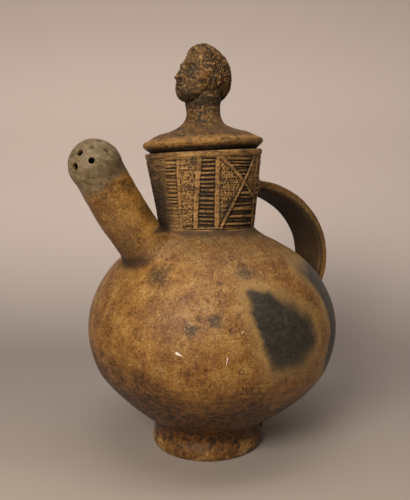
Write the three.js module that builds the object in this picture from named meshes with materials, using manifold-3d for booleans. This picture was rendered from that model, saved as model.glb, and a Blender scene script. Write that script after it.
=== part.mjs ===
// A hand-built terracotta pouring jug with a lid. Millimetres, +Z up, the spout points to -X and the handle to +X.
// The jug is one hollow piece: a round belly on a ring foot, a carved neck that leans towards the spout,
// a tube spout that ends in a pierced dome, and a strap handle. The lid lifts off, and its knob is a head that looks up.
import * as THREE from 'three';
import { mergeVertices } from 'three/addons/utils/BufferGeometryUtils.js';
import Module from 'manifold-3d';

const wasm = await Module();
wasm.setup();

// Belly
const wall = 7;
const bellyRadius = 105;
const bellyHeight = 102;
const shoulderRise = 86;
const bottomDrop = 95;
const bottomFullness = 1.9;
const bottomTaper = 0.16;
const taperHeight = 70;
const bellyOffset = 4.6;

// Ring foot
const footRadius = 46.8;
const footWaist = 45.4;
const footHeight = 20;
const bellyStart = 21;
const footBand = 10;
const footRounding = 2.2;

// Neck, leaning towards the spout
const neckBaseRadius = 39.6;
const neckHeight = 64;
const rimRadius = 48.2;
const rimWall = 8;
const rimRounding = 1;
const neckFillet = 5;
const neckLeanDegrees = 3.5;

// Carving on the neck
const rimBand = 6;
const carvedFoot = 3;
const grooveDepth = 1.3;
const grooveWidth = 1.7;
const rungPitch = 4.6;
const hatchPitch = 4.4;

// Spout
const spoutRiseDegrees = 59.4;
const spoutDomeX = -100.5;
const spoutDomeHeight = 234.8;
const spoutDomeRadius = 20.2;
const spoutTipRadius = 19.2;
const spoutRootRadius = 20.6;
const spoutPinch = 4.5;
const spoutWall = 5.5;
const strainerHoleRadius = 2.1;
const strainerRings = [{ polar: 38, turn: 0 }, { polar: 65, turn: 22.5 }];
const strainerHolesPerRing = 8;

// Strap handle
const strapWidth = 36;
const strapThickness = 11.5;
const strapRounding = 2.5;
const strapTopBelowRim = 28.5;
const strapReach = 20.2;
const strapReachHeight = 153;
const strapFootHeight = 115;

// Lid
const lidRadius = 49.8;
const lidBevel = 6.2;
const lidEdgeHeight = 5.8;
const lidConeRise = 13;
const lidWall = 7.5;
const lidGap = 0.3;
const flangeDepth = 8;
const flangeWidth = 6;
const flangeClearance = 1.6;

// Knob: a neck and a head, facing the spout and tilted back
const knobNeckRadius = 13.9;
const knobNeckHeight = 30;
const headHeight = 48.5;
const headTiltDegrees = 24;
const headCentreHeight = 57.6;
const knobSetback = 2.2;
const headSetback = 2.6;

// How finely round things are cut
const bellySides = 44;
const cavitySides = 28;
const spoutSides = 20;
const strainerHoleSides = 6;
const strapSteps = 15;
const lidSides = 36;
const headSides = 34;
const headRows = 25;
const earSides = 5;
const earSteps = 8;

const degrees = Math.PI / 180;
const lean = Math.tan(neckLeanDegrees * degrees);
const clamp01 = (t) => Math.min(1, Math.max(0, t));
const smoothStep = (low, high, v) => {
  const t = clamp01((v - low) / (high - low));
  return t * t * (3 - 2 * t);
};
const bell = (distance, width) => Math.exp(-((distance / width) ** 2));

// Heights that follow from the belly and the neck
const neckBase = bellyHeight + shoulderRise * Math.sqrt(1 - (neckBaseRadius / bellyRadius) ** 2) + neckFillet * 0.55;
const rimHeight = neckBase + neckHeight;
const neckRadiusAt = (height) => neckBaseRadius + (rimRadius - neckBaseRadius) * (height - neckBase) / neckHeight;
const neckShiftAt = (height) => -lean * (height - neckBase);

// A closed manifold solid from a geometry, with its faces turned outwards.
function solid(geometry) {
  const bare = geometry.clone();
  for (const name of Object.keys(bare.attributes)) if (name !== 'position') bare.deleteAttribute(name);
  const merged = mergeVertices(bare, 1e-3);
  const triVerts = new Uint32Array(merged.index.array);
  const vertProperties = merged.attributes.position.array;
  const made = new wasm.Manifold(new wasm.Mesh({ numProp: 3, vertProperties, triVerts }));
  if (made.volume() > 0) return made;
  for (let i = 0; i < triVerts.length; i += 3) {
    [triVerts[i + 1], triVerts[i + 2]] = [triVerts[i + 2], triVerts[i + 1]];
  }
  return new wasm.Manifold(new wasm.Mesh({ numProp: 3, vertProperties, triVerts }));
}

function geometryOf(made) {
  const mesh = made.getMesh();
  const geometry = new THREE.BufferGeometry();
  geometry.setAttribute('position', new THREE.BufferAttribute(new Float32Array(mesh.vertProperties), 3));
  geometry.setIndex(new THREE.BufferAttribute(new Uint32Array(mesh.triVerts), 1));
  geometry.computeVertexNormals();
  return geometry;
}

// Moves every vertex of a geometry by a function of its place.
function reshape(geometry, place) {
  const position = geometry.attributes.position;
  const point = new THREE.Vector3();
  for (let i = 0; i < position.count; i++) {
    point.fromBufferAttribute(position, i);
    place(point);
    position.setXYZ(i, point.x, point.y, point.z);
  }
  return geometry;
}

// A turned form about +Z from [radius, height] pairs.
function turned(outline, sides) {
  const points = outline.map(([radius, height]) => new THREE.Vector2(radius, height));
  return new THREE.LatheGeometry(points, sides).rotateX(Math.PI / 2);
}

// Points of a rounded arc about the axis at centreHeight, from one angle to another, both in degrees. A fullness of 2
// is an ellipse, and less is straighter.
function arc(centreHeight, alongRadius, alongHeight, from, to, steps, fullness = 2) {
  const rounded = (v) => Math.sign(v) * Math.abs(v) ** (2 / fullness);
  return Array.from({ length: steps + 1 }, (_, i) => {
    const angle = (from + (to - from) * i / steps) * degrees;
    const radius = Math.abs(angle) > 1.5707 ? 0 : alongRadius * rounded(Math.cos(angle));
    return [radius, centreHeight + alongHeight * rounded(Math.sin(angle))];
  });
}

// The arc's angle at a radius, in degrees.
const arcAngle = (radius, alongRadius, fullness = 2) => Math.acos((radius / alongRadius) ** (fullness / 2)) / degrees;

// The belly narrows towards its foot faster than its arc does.
function tapered([radius, height]) {
  const low = clamp01((taperHeight - height) / (taperHeight - footHeight));
  return [radius * (1 - bottomTaper * low ** 1.4), height];
}

// The jug was built by hand: its belly bulges towards the handle, and its neck leans towards the spout.
function handBuilt(point) {
  const share = clamp01((point.z - footHeight) / (neckBase - footHeight));
  point.x += bellyOffset * (1 - (2 * share - 1) ** 6);
  const above = Math.max(0, point.z - neckBase);
  const tilt = lean * Math.min(1, above / neckHeight);
  const x = point.x;
  point.x -= lean * above;
  point.z += tilt * x;
}

function jugOutside() {
  const footInside = footRadius - footBand;
  const underAngle = arcAngle(footInside, bellyRadius, bottomFullness);
  const footAngle = Math.asin(((bellyHeight - bellyStart) / bottomDrop) ** (bottomFullness / 2)) / degrees;
  const shoulderAngle = arcAngle(neckBaseRadius + neckFillet, bellyRadius);
  const outline = [
    ...arc(bellyHeight, bellyRadius, bottomDrop, -90, -underAngle, 2, bottomFullness),
    [footInside + 0.5, footRounding],
    [footInside + footRounding, 0],
    [footRadius - footRounding, 0],
    [footRadius - footRounding * 0.3, footRounding * 0.4],
    [footRadius, footRounding * 1.6],
    [footWaist, footHeight],
    ...arc(bellyHeight, bellyRadius, bottomDrop, -footAngle, 0, 8, bottomFullness).map(tapered),
    ...arc(bellyHeight, bellyRadius, shoulderRise, 0, shoulderAngle, 6).slice(1),
    [neckBaseRadius + neckFillet * 0.35, neckBase - neckFillet * 0.2],
    ...ringGroove(carvedFoot - 1),
    ...ringGroove(carvedTop + 0.6),
    [rimRadius, rimHeight - rimRounding],
    [rimRadius - rimRounding, rimHeight],
    [0, rimHeight],
  ];
  return solid(reshape(turned(outline, bellySides), handBuilt));
}

// The section of a groove all round the neck, at a height above its base.
function ringGroove(height) {
  return [[-0.8, 0], [0, -1], [0.8, 0]].map(([up, inwards]) => {
    const at = neckBase + height + up;
    return [neckRadiusAt(at) + inwards, at];
  });
}

function jugCavity() {
  const radius = bellyRadius - wall;
  const neckInside = neckBaseRadius - wall * 0.9;
  const outline = [
    ...arc(bellyHeight, radius, bottomDrop - wall, -90, 0, 6, bottomFullness).map(tapered),
    ...arc(bellyHeight, radius, shoulderRise - wall, 0, arcAngle(neckInside, radius), 4).slice(1),
    [neckInside, neckBase],
    [rimRadius - rimWall, rimHeight - rimRounding],
    [rimRadius - rimWall + rimRounding, rimHeight],
    [rimRadius - rimWall + rimRounding, rimHeight + neckHeight],
    [0, rimHeight + neckHeight],
  ];
  return solid(reshape(turned(outline, cavitySides), handBuilt));
}

// The spout's own axis runs down from the middle of its dome into the belly.
const spoutDown = new THREE.Vector3(Math.cos(spoutRiseDegrees * degrees), 0, -Math.sin(spoutRiseDegrees * degrees));
const spoutDome = new THREE.Vector3(spoutDomeX, 0, spoutDomeHeight);

// Distance along the spout's axis from the dome's middle to the outside of the belly.
function spoutLength() {
  const inside = (distance) => {
    const point = spoutDome.clone().addScaledVector(spoutDown, distance);
    return ((point.x - bellyOffset) / bellyRadius) ** 2 + ((point.z - bellyHeight) / shoulderRise) ** 2 < 1;
  };
  let distance = 0;
  while (!inside(distance)) distance += 0.25;
  return distance;
}

// Turns a form made about +Z, with the dome's middle at the origin, onto the spout's axis.
function alongSpout(geometry) {
  const turn = new THREE.Quaternion().setFromUnitVectors(new THREE.Vector3(0, 0, -1), spoutDown);
  return geometry.applyQuaternion(turn).translate(spoutDome.x, spoutDome.y, spoutDome.z);
}

// The spout's outside, pinched in on its underside where it joins the belly.
function spoutOutside() {
  const length = spoutLength();
  const outline = [
    [0, -length - wall * 0.9],
    [spoutRootRadius + 1, -length - wall * 0.9],
    [spoutRootRadius + 0.5, -length],
    [spoutRootRadius, -length + 7],
    [(spoutRootRadius + spoutTipRadius) / 2, -length / 2],
    [spoutTipRadius, -spoutDomeRadius * 0.7],
    ...arc(0, spoutDomeRadius, spoutDomeRadius, -12, 90, 5),
  ];
  const tube = reshape(turned(outline, spoutSides), (point) => {
    if (point.x < 0) point.x *= 1 - spoutPinch / spoutRootRadius * smoothStep(length * 0.45, length, -point.z);
  });
  return solid(alongSpout(tube));
}

function spoutBore() {
  const tip = spoutTipRadius - spoutWall;
  const root = spoutRootRadius - spoutWall;
  const outline = [
    [0, -spoutLength() - wall * 2.2],
    [root - spoutPinch / 2, -spoutLength() - wall * 2.2],
    [root - spoutPinch / 2, -spoutLength()],
    [tip, 0],
    ...arc(0, tip, spoutDomeRadius - spoutWall, 30, 90, 2),
  ];
  return solid(alongSpout(turned(outline, spoutSides / 2)));
}

// Two rings of holes through the dome, pointing at its middle.
function strainerHoles() {
  const holes = [];
  const reach = spoutDomeRadius * 1.2;
  for (const ring of strainerRings) {
    for (let i = 0; i < strainerHolesPerRing; i++) {
      const hole = new THREE.CylinderGeometry(strainerHoleRadius, strainerHoleRadius, reach, strainerHoleSides);
      hole.translate(0, reach / 2, 0).rotateX(Math.PI / 2);
      hole.rotateY(ring.polar * degrees).rotateZ((ring.turn + i * 360 / strainerHolesPerRing) * degrees);
      holes.push(solid(alongSpout(hole)));
    }
  }
  return holes;
}

// The strap's middle line leaves the neck level, drops past its widest reach and turns in to the belly.
function strapLine() {
  const top = rimHeight - strapTopBelowRim;
  const neckX = neckRadiusAt(top) + neckShiftAt(top) - rimWall / 2;
  const farX = bellyOffset + bellyRadius + strapReach - strapThickness / 2 - 1.5;
  const footShare = (strapFootHeight - bellyHeight) / shoulderRise;
  const footX = bellyOffset + bellyRadius * Math.sqrt(1 - footShare ** 2) - wall / 2;
  const point = (x, z) => new THREE.Vector3(x, 0, z);
  const line = new THREE.CurvePath();
  line.add(new THREE.CubicBezierCurve3(
    point(neckX, top), point(neckX + 44, top), point(farX, top - 32), point(farX, strapReachHeight)));
  line.add(new THREE.CubicBezierCurve3(
    point(farX, strapReachHeight), point(farX, strapReachHeight - 16),
    point(farX - 9, strapFootHeight + 10), point(footX, strapFootHeight)));
  return line;
}

function strapHandle() {
  const section = new THREE.Shape();
  const [across, thick, round] = [strapWidth / 2, strapThickness / 2, strapRounding];
  section.moveTo(-across, -thick + round);
  section.lineTo(-across + round, -thick);
  section.lineTo(across - round, -thick);
  section.lineTo(across, -thick + round);
  section.lineTo(across, thick - round);
  section.lineTo(across - round, thick);
  section.lineTo(-across + round, thick);
  section.lineTo(-across, thick - round);
  section.closePath();
  const line = strapLine();
  const strap = new THREE.ExtrudeGeometry(section, { depth: 1, steps: strapSteps, bevelEnabled: false });
  return solid(reshape(strap, (point) => {
    const share = clamp01(point.z);
    const at = line.getPointAt(share);
    const along = line.getTangentAt(share);
    point.set(at.x - along.z * point.y, point.x, at.z + along.x * point.y);
  }));
}

// A groove cut into the neck, drawn on the unrolled neck: angles in degrees from the spout's side, heights above the
// neck's base. Its section is a triangle with its point inwards. side is 1 towards -Y, and -1 for the mirrored groove.
function groove([fromAngle, fromHeight], [toAngle, toHeight], side, width = grooveWidth, depth = grooveDepth) {
  const middleRadius = neckRadiusAt(neckBase + (fromHeight + toHeight) / 2);
  const perDegree = middleRadius * degrees;
  const along = new THREE.Vector2((toAngle - fromAngle) * perDegree, toHeight - fromHeight);
  const steps = Math.max(1, Math.round(Math.abs(toAngle - fromAngle) / 13));
  const across = new THREE.Vector2(-along.y, along.x).normalize();
  const lift = 0.6;
  const apex = 1;
  const halfBase = Math.sqrt(3) / 2;
  const bar = new THREE.CylinderGeometry(apex, apex, 1, 3, steps);
  return solid(reshape(bar, (point) => {
    const share = point.y + 0.5;
    const sideways = point.x / halfBase * (width / 2) * (depth + lift) / depth;
    const inwards = point.z > 0 ? depth : -lift;
    const angle = (fromAngle + (toAngle - fromAngle) * share + sideways * across.x / perDegree) * degrees;
    const height = neckBase + fromHeight + (toHeight - fromHeight) * share + sideways * across.y;
    const radius = neckRadiusAt(height) - inwards;
    point.set(-radius * Math.cos(angle), -side * radius * Math.sin(angle), height);
    handBuilt(point);
  }));
}

// Borders of the carved panels: the angle from the spout's side at the top and at the foot of the carving.
const panelBorders = {
  combStart: [14, 5],
  combEnd: [28.5, 21.5],
  stippleStart: [32, 26],
  stippleEnd: [48, 38.5],
  ladderStart: [53.5, 45],
  ladderEnd: [66.2, 62.5],
  crossStart: [71, 69],
  crossEnd: [117, 118.5],
};
const carvedTop = neckHeight - rimBand;
const borderAt = (name, height) => {
  const [top, foot] = panelBorders[name];
  return foot + (top - foot) * (height - carvedFoot) / (carvedTop - carvedFoot);
};

// Level strokes between two borders, one above another.
function rungs(start, end, side) {
  const count = Math.floor((carvedTop - carvedFoot - rungPitch * 0.4) / rungPitch);
  return Array.from({ length: count }, (_, i) => {
    const height = carvedFoot + rungPitch * (i + 0.9);
    return groove([borderAt(start, height) + 1, height], [borderAt(end, height) - 1, height], side);
  });
}

// The crossed panel: two diagonals, with level strokes above and below their crossing and none at the sides.
function crossedPanel(side) {
  const cut = [];
  const crossing = { angle: 91, height: neckHeight * 0.68 };
  const lines = [
    { top: [73.5, carvedTop - 1], foot: [117.5, neckHeight * 0.4] },
    { top: [113, carvedTop - 1], foot: [72, carvedFoot + 2] },
  ];
  const angleOn = ({ top, foot }, height) => foot[0] + (top[0] - foot[0]) * (height - foot[1]) / (top[1] - foot[1]);
  const [falling, rising] = lines;
  for (const line of lines) cut.push(groove(line.foot, line.top, side, 2.2, 1.2));
  for (let height = carvedTop - 2; height > crossing.height + 4; height -= hatchPitch * 0.75) {
    cut.push(groove([angleOn(falling, height) + 3, height], [angleOn(rising, height) - 3, height], side, 1.3, 1));
  }
  for (let height = carvedFoot + 2.5; height < crossing.height - 8; height += hatchPitch) {
    const end = Math.min(borderAt('crossEnd', height) - 1.5, angleOn(falling, height) - 3);
    cut.push(groove([angleOn(rising, height) + 3, height], [end, height], side));
  }
  return cut;
}

// Upright border lines.
function borderLine(name, side) {
  return groove([borderAt(name, carvedFoot), carvedFoot], [borderAt(name, carvedTop), carvedTop], side, 1.3, 1);
}

function neckCarving() {
  const cut = [];
  for (const side of [1, -1]) {
    cut.push(...rungs('combStart', 'combEnd', side));
    cut.push(...rungs('ladderStart', 'ladderEnd', side));
    cut.push(...crossedPanel(side));
    for (const name of ['stippleStart', 'stippleEnd', 'crossStart', 'crossEnd']) cut.push(borderLine(name, side));
  }
  return cut;
}

function jug() {
  const clay = wasm.Manifold.union([jugOutside(), spoutOutside(), strapHandle()]);
  const removed = wasm.Manifold.union([jugCavity(), spoutBore(), ...strainerHoles(), ...neckCarving()]);
  return geometryOf(clay.subtract(removed));
}

// The lid, with height 0 at the plane where it sits on the rim. The knob's neck is set back with its head.
function lidPlate() {
  const seatRadius = lidRadius - lidBevel;
  const flangeRadius = rimRadius - rimWall - flangeClearance;
  const topAt = (share) => lidEdgeHeight + lidConeRise * share;
  const headFoot = headCentreHeight - headHeight * 0.34;
  const outline = [
    [0, topAt(1) - lidWall],
    [flangeRadius - flangeWidth, topAt(0.55) - lidWall],
    [flangeRadius - flangeWidth, -flangeDepth],
    [flangeRadius - 1, -flangeDepth],
    [flangeRadius, -flangeDepth + 1],
    [flangeRadius, 0],
    [seatRadius, 0],
    [lidRadius - 0.8, lidEdgeHeight - 1.4],
    [lidRadius, lidEdgeHeight + 0.4],
    [lidRadius - 1, lidEdgeHeight + 2.4],
    [lidRadius - 4.3, topAt(0.3)],
    [lidRadius * 0.72, topAt(0.66)],
    [lidRadius * 0.5, topAt(0.88)],
    [lidRadius * 0.41, topAt(1.03)],
    [knobNeckRadius + 3, topAt(1.25)],
    [knobNeckRadius + 0.7, topAt(1.6)],
    [knobNeckRadius, knobNeckHeight],
    [knobNeckRadius + 1.3, headFoot],
    [knobNeckRadius + 0.6, headFoot + headHeight * 0.1],
    [knobNeckRadius - 5, headFoot + headHeight * 0.18],
    [0, headFoot + headHeight * 0.18],
  ];
  return solid(reshape(turned(outline, lidSides), (point) => {
    point.x += knobSetback * smoothStep(topAt(0.9), knobNeckHeight, point.z);
  }));
}

// Forward relief of a calm, general face, in shares of the head's height: s is sideways and u up from its middle.
// The eyes lie halfway up, the nose ends a quarter below them, and the mouth a third of the way on to the chin.
function faceRelief(s, u) {
  const side = Math.abs(s);
  const down = clamp01((0.06 - u) / 0.27);
  const nose = (0.02 + 0.1 * down) * smoothStep(-0.25, -0.2, u) * smoothStep(0.14, 0.05, u) * bell(s, 0.04 + 0.022 * down);
  const wings = 0.03 * bell(side - 0.055, 0.03) * bell(u + 0.195, 0.034);
  const brow = 0.032 * bell(side - 0.13, 0.1) * bell(u - 0.085, 0.035);
  const socket = -0.055 * bell(side - 0.135, 0.075) * bell(u - 0.005, 0.055);
  const eye = 0.045 * bell(side - 0.14, 0.05) * bell(u, 0.032);
  const cheek = 0.018 * bell(side - 0.19, 0.08) * bell(u + 0.15, 0.1);
  const mouth = 0.042 * bell(s, 0.15) * bell(u + 0.31, 0.09);
  const lips = bell(s, 0.095) * (0.026 * bell(u + 0.292, 0.022) + 0.028 * bell(u + 0.345, 0.024));
  const chin = 0.035 * bell(s, 0.12) * bell(u + 0.44, 0.06);
  return nose + wings + brow + socket + eye + cheek + mouth + lips + chin;
}

// The hair is a raised cap from the brow over the crown to the nape, in rough tufts, with a crest over the forehead
// and a chipped hollow behind it. A short beard follows the jaw.
function hairThickness(turn, rise) {
  const line = turn < 80 ? 44 - 26 * smoothStep(25, 80, turn) : 18 - 58 * smoothStep(80, 120, turn);
  const covered = smoothStep(line - 5, line + 5, rise);
  const tufts = Math.cos(turn * degrees * 9) * Math.cos(rise * degrees * 9);
  const aside = turn * Math.cos(rise * degrees);
  const crest = 0.07 * bell(rise - 64, 18) * bell(aside, 26);
  const chip = 0.06 * bell(rise - 80, 9) * bell((180 - turn) * Math.cos(rise * degrees), 16);
  const beard = 0.035 * smoothStep(-30, -52, rise) * smoothStep(0.04, 0.3, Math.cos(rise * degrees) * Math.cos(turn * degrees));
  return covered * (0.03 + 0.014 * tufts) + crest - chip + beard;
}

// Places a direction on the head's surface, in shares of its height. turn is the angle from the face, rise from level.
function headPoint(turn, rise) {
  const forward = Math.cos(rise) * Math.cos(turn);
  const sideways = Math.cos(rise) * Math.sin(turn);
  const up = Math.sin(rise);
  const low = smoothStep(0.1, -0.8, up);
  const front = smoothStep(-0.2, 0.5, forward);
  const power = 2.1 + 0.3 * front + 0.3 * low * front;
  const [deepest, widest, tallest] = [forward > 0 ? 0.4 : 0.46, 0.36 - 0.06 * low, 0.48];
  const shares = [forward / deepest, sideways / widest, up / tallest];
  const radius = shares.reduce((sum, share) => sum + Math.abs(share) ** power, 0) ** (-1 / power)
    + hairThickness(Math.abs(turn) / degrees, rise / degrees);
  const point = { f: forward * radius, s: sideways * radius, u: up * radius };
  if (point.u < 0) point.u *= 0.74 + 0.26 * smoothStep(-0.2, 0.26, point.f);
  point.f += faceRelief(point.s, point.u) * smoothStep(0.08, 0.22, point.f);
  return point;
}

function head() {
  const ball = new THREE.SphereGeometry(1, headSides, headRows);
  const crowdFace = 0.45;
  const crowdMiddle = 0.17;
  reshape(ball, (point) => {
    const level = Math.asin(Math.max(-1, Math.min(1, point.y)));
    const rise = level - crowdMiddle * Math.sin(2 * level);
    const turn = Math.atan2(point.z, point.x);
    const { f, s, u } = headPoint(turn - crowdFace * Math.sin(turn), rise);
    point.set(-f * headHeight, s * headHeight, u * headHeight);
  });
  const parts = [solid(placeHead(ball))];
  for (const side of [1, -1]) {
    const ear = new THREE.TorusGeometry(headHeight * 0.072, headHeight * 0.034, earSides, earSteps);
    ear.scale(0.8, 1.25, 1).rotateX(Math.PI / 2).rotateZ(side * 16 * degrees);
    ear.translate(headHeight * 0.05, side * headHeight * 0.345, -headHeight * 0.05);
    parts.push(solid(placeHead(ear)));
  }
  return wasm.Manifold.union(parts);
}

function placeHead(geometry) {
  return geometry.rotateY(headTiltDegrees * degrees).translate(headSetback, 0, headCentreHeight);
}

function lid() {
  return geometryOf(wasm.Manifold.union([lidPlate(), head()]));
}

const object = new THREE.Group();
const standing = new THREE.Group();

const jugMesh = new THREE.Mesh(jug(), new THREE.MeshStandardMaterial({ color: 0x9c6d3a, roughness: 0.62 }));
jugMesh.name = 'jug';

const lidMesh = new THREE.Mesh(lid(), new THREE.MeshStandardMaterial({ color: 0x6e5638, roughness: 0.68 }));
lidMesh.name = 'lid';

// The lid rests on the leaning rim.
const rimSeat = new THREE.Group();
rimSeat.position.set(neckShiftAt(rimHeight), 0, rimHeight);
rimSeat.rotation.y = -neckLeanDegrees * degrees;
lidMesh.position.z = lidGap;
rimSeat.add(lidMesh);
standing.add(jugMesh, rimSeat);
object.add(standing);

// The origin is the middle of the object's footprint, on the ground.
const bounds = new THREE.Box3().setFromObject(standing, true);
standing.position.x = -(bounds.min.x + bounds.max.x) / 2;
standing.position.y = -(bounds.min.y + bounds.max.y) / 2;

export default object;
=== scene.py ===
"""A hand-built terracotta pouring jug with a lid whose knob is a head, on a pale floor in soft studio light.

Lengths in this file are millimetres in the jug's own frame, where the foot's middle is at x = 0. They become
metres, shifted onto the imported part, when a mesh is made.
"""
from math import acos, asin, atan, atan2, copysign, cos, degrees, hypot, pi, radians, sin, sqrt, tan

import bmesh
import bpy
import numpy as np
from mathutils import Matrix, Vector


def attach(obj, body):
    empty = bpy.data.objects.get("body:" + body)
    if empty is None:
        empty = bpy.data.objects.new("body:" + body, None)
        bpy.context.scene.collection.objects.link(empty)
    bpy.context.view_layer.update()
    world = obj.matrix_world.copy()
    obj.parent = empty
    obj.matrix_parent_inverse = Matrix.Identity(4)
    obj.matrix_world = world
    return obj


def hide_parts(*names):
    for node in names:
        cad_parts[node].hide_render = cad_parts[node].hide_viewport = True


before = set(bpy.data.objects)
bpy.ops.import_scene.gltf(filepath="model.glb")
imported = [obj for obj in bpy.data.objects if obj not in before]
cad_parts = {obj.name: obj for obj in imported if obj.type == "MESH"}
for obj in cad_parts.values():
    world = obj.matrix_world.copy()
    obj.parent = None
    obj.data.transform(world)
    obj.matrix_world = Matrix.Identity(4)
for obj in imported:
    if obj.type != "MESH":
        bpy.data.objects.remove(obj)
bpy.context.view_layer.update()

METRES = 0.001
FOOT_X = -3.75

# Belly, foot and neck
WALL = 7.0
BELLY_R = 105.0
BELLY_Z = 102.0
SHOULDER_RISE = 86.0
BOTTOM_DROP = 95.0
BOTTOM_FULLNESS = 1.9
BOTTOM_TAPER = 0.16
TAPER_Z = 70.0
BELLY_START = 21.0
BELLY_OFFSET = 4.6
FOOT_R = 46.8
FOOT_WAIST = 45.4
FOOT_H = 20.0
FOOT_INSIDE = 36.8
NECK_R = 39.6
NECK_H = 64.0
RIM_R = 48.2
RIM_WALL = 8.0
NECK_FILLET = 5.0
LEAN = tan(radians(3.5))
NECK_Z = BELLY_Z + SHOULDER_RISE * sqrt(1 - (NECK_R / BELLY_R) ** 2) + NECK_FILLET * 0.55
RIM_Z = NECK_Z + NECK_H

# Spout and strap handle
SPOUT_RISE = radians(59.4)
SPOUT_DOME = np.array([-100.5, 0.0, 234.8])
SPOUT_DOME_R = 20.2
SPOUT_TIP_R = 19.2
SPOUT_ROOT_R = 20.6
SPOUT_WALL = 5.5
SPOUT_LENGTH = 76.0
SPOUT_PINCH = 4.5
STRAP_HALF_WIDTH = 18.0
STRAP_HALF_THICKNESS = 5.75

# Lid and head
LID_R = 49.8
LID_EDGE = 5.8
LID_RISE = 13.0
LID_WALL = 7.5
FLANGE_DEPTH = 8.0
FLANGE_R = 38.6
KNOB_NECK_R = 13.9
KNOB_NECK_Z = 30.0
KNOB_SETBACK = 2.2
HEAD_H = 48.5
HEAD_Z = 57.6
HEAD_SETBACK = 2.6
HEAD_TILT = radians(24)
LID_GAP = 0.3

# Mesh columns round each turned form, and the number and spacing of the hair's curls
COLUMNS = 264
CAVITY_COLUMNS = 88
SPOUT_COLUMNS = 104
BORE_COLUMNS = 56
LID_COLUMNS = 168
CURLS = 420
CURL_TURN = 2.399963
CURL_R = 0.062

# Edges that bend more than this stay sharp
SHARP_EDGE = radians(50)


def linear(hex_colour):
    """An sRGB colour as "rrggbb", turned into linear values with alpha 1."""
    channels = [int(hex_colour[i : i + 2], 16) / 255 for i in (0, 2, 4)]
    return [c / 12.92 if c <= 0.04045 else ((c + 0.055) / 1.055) ** 2.4 for c in channels] + [1.0]


def ease(low, high, value):
    """0 up to low and 1 from high on, smooth between. It falls instead where low is the larger."""
    t = np.clip((value - low) / (high - low), 0, 1)
    return t * t * (3 - 2 * t)


def bell(distance, width):
    return np.exp(-((distance / width) ** 2))


def length(rows):
    return np.linalg.norm(rows, axis=1)


def normalised(rows):
    return rows / (length(rows)[:, None] + 1e-9)


def scatter(i, j, salt):
    """A fixed value from 0 to 1 for each pair of whole numbers."""
    v = np.sin(i * 127.1 + j * 311.7 + salt * 74.7) * 43758.5453
    return v - np.floor(v)


def value_noise(x, y, z, salt=0.0):
    """Smooth noise from -1 to 1 on a unit grid in three dimensions."""
    cell = [np.floor(v) for v in (x, y, z)]
    part = [v - c for v, c in zip((x, y, z), cell)]
    share = [p * p * (3 - 2 * p) for p in part]
    total = 0.0
    for corner in range(8):
        step = [(corner >> axis) & 1 for axis in range(3)]
        weight = 1.0
        for axis in range(3):
            weight = weight * (share[axis] if step[axis] else 1 - share[axis])
        i, j, k = (c + s for c, s in zip(cell, step))
        total = total + weight * scatter(i, j, k + 17.3 * salt)
    return 2 * total - 1


def read_points(mesh):
    flat = np.empty(len(mesh.vertices) * 3)
    mesh.vertices.foreach_get("co", flat)
    return flat.reshape(-1, 3)


def write_points(mesh, points):
    mesh.vertices.foreach_set("co", points.ravel())
    mesh.update()


def moved(obj, change):
    """Passes an object's points through a function."""
    write_points(obj.data, change(read_points(obj.data)))
    return obj


def spin(bm, geometry, steps):
    """Turns edges all the way round the z axis."""
    bmesh.ops.spin(
        bm, geom=geometry, cent=(0, 0, 0), axis=(0, 0, 1), angle=2 * pi, steps=steps, use_merge=True
    )


def object_from(bm, name):
    bmesh.ops.recalc_face_normals(bm, faces=bm.faces)
    mesh = bpy.data.meshes.new(name)
    bm.to_mesh(mesh)
    bm.free()
    obj = bpy.data.objects.new(name, mesh)
    bpy.context.scene.collection.objects.link(obj)
    return obj


def turned(outline, columns, name, fine=None):
    """A form turned about z from (radius, height) pairs. fine(centre) picks the faces to split once more."""
    bm = bmesh.new()
    verts = [bm.verts.new((radius, 0, height)) for radius, height in outline]
    edges = [bm.edges.new(pair) for pair in zip(verts, verts[1:])]
    spin(bm, verts + edges, columns)
    bmesh.ops.remove_doubles(bm, verts=bm.verts, dist=1e-4)
    if fine:
        edges = {e for f in bm.faces if fine(f.calc_center_median()) for e in f.edges}
        bmesh.ops.subdivide_edges(bm, edges=list(edges), cuts=1, use_grid_fill=True)
    return object_from(bm, name)


def combine(base, other, operation):
    """Joins other to base, or cuts it away, and deletes other."""
    modifier = base.modifiers.new("combine", "BOOLEAN")
    modifier.operation = operation
    modifier.object = other
    modifier.solver = "EXACT"
    done = bpy.data.meshes.new_from_object(base.evaluated_get(bpy.context.evaluated_depsgraph_get()))
    base.modifiers.clear()
    old = base.data
    base.data = done
    bpy.data.meshes.remove(old)
    bpy.data.objects.remove(other)
    return base


def arc_points(centre_z, along_r, along_z, start, stop, count, fullness=2.0):
    """(radius, height) pairs of a rounded arc about the axis, between two angles in degrees."""
    angles = np.radians(np.linspace(start, stop, count))
    power = 2 / fullness
    radius = along_r * np.abs(np.cos(angles)) ** power
    height = centre_z + along_z * np.sign(np.sin(angles)) * np.abs(np.sin(angles)) ** power
    radius[np.abs(np.degrees(angles)) > 89.99] = 0
    return list(zip(radius.tolist(), height.tolist()))


def arc_angle(radius, along_r, fullness=2.0):
    return degrees(acos((radius / along_r) ** (fullness / 2)))


def corner_points(before, corner, after, count):
    """A rounded corner: a curve from one point to another that bends at the corner between them."""
    ends = list(zip(before, corner, after))
    return [
        tuple((1 - t) ** 2 * b + 2 * t * (1 - t) * c + t * t * a for b, c, a in ends)
        for t in np.linspace(0, 1, count)
    ]


def line_points(start, stop, count):
    """Points between two others, both left out."""
    return [tuple(a + (b - a) * k / count for a, b in zip(start, stop)) for k in range(1, count)]


def neck_radius(z):
    return NECK_R + (RIM_R - NECK_R) * (z - NECK_Z) / NECK_H


def taper(z):
    """How much of its width the belly keeps as it narrows towards the foot."""
    return 1 - BOTTOM_TAPER * np.clip((TAPER_Z - z) / (TAPER_Z - FOOT_H), 0, 1) ** 1.4


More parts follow.
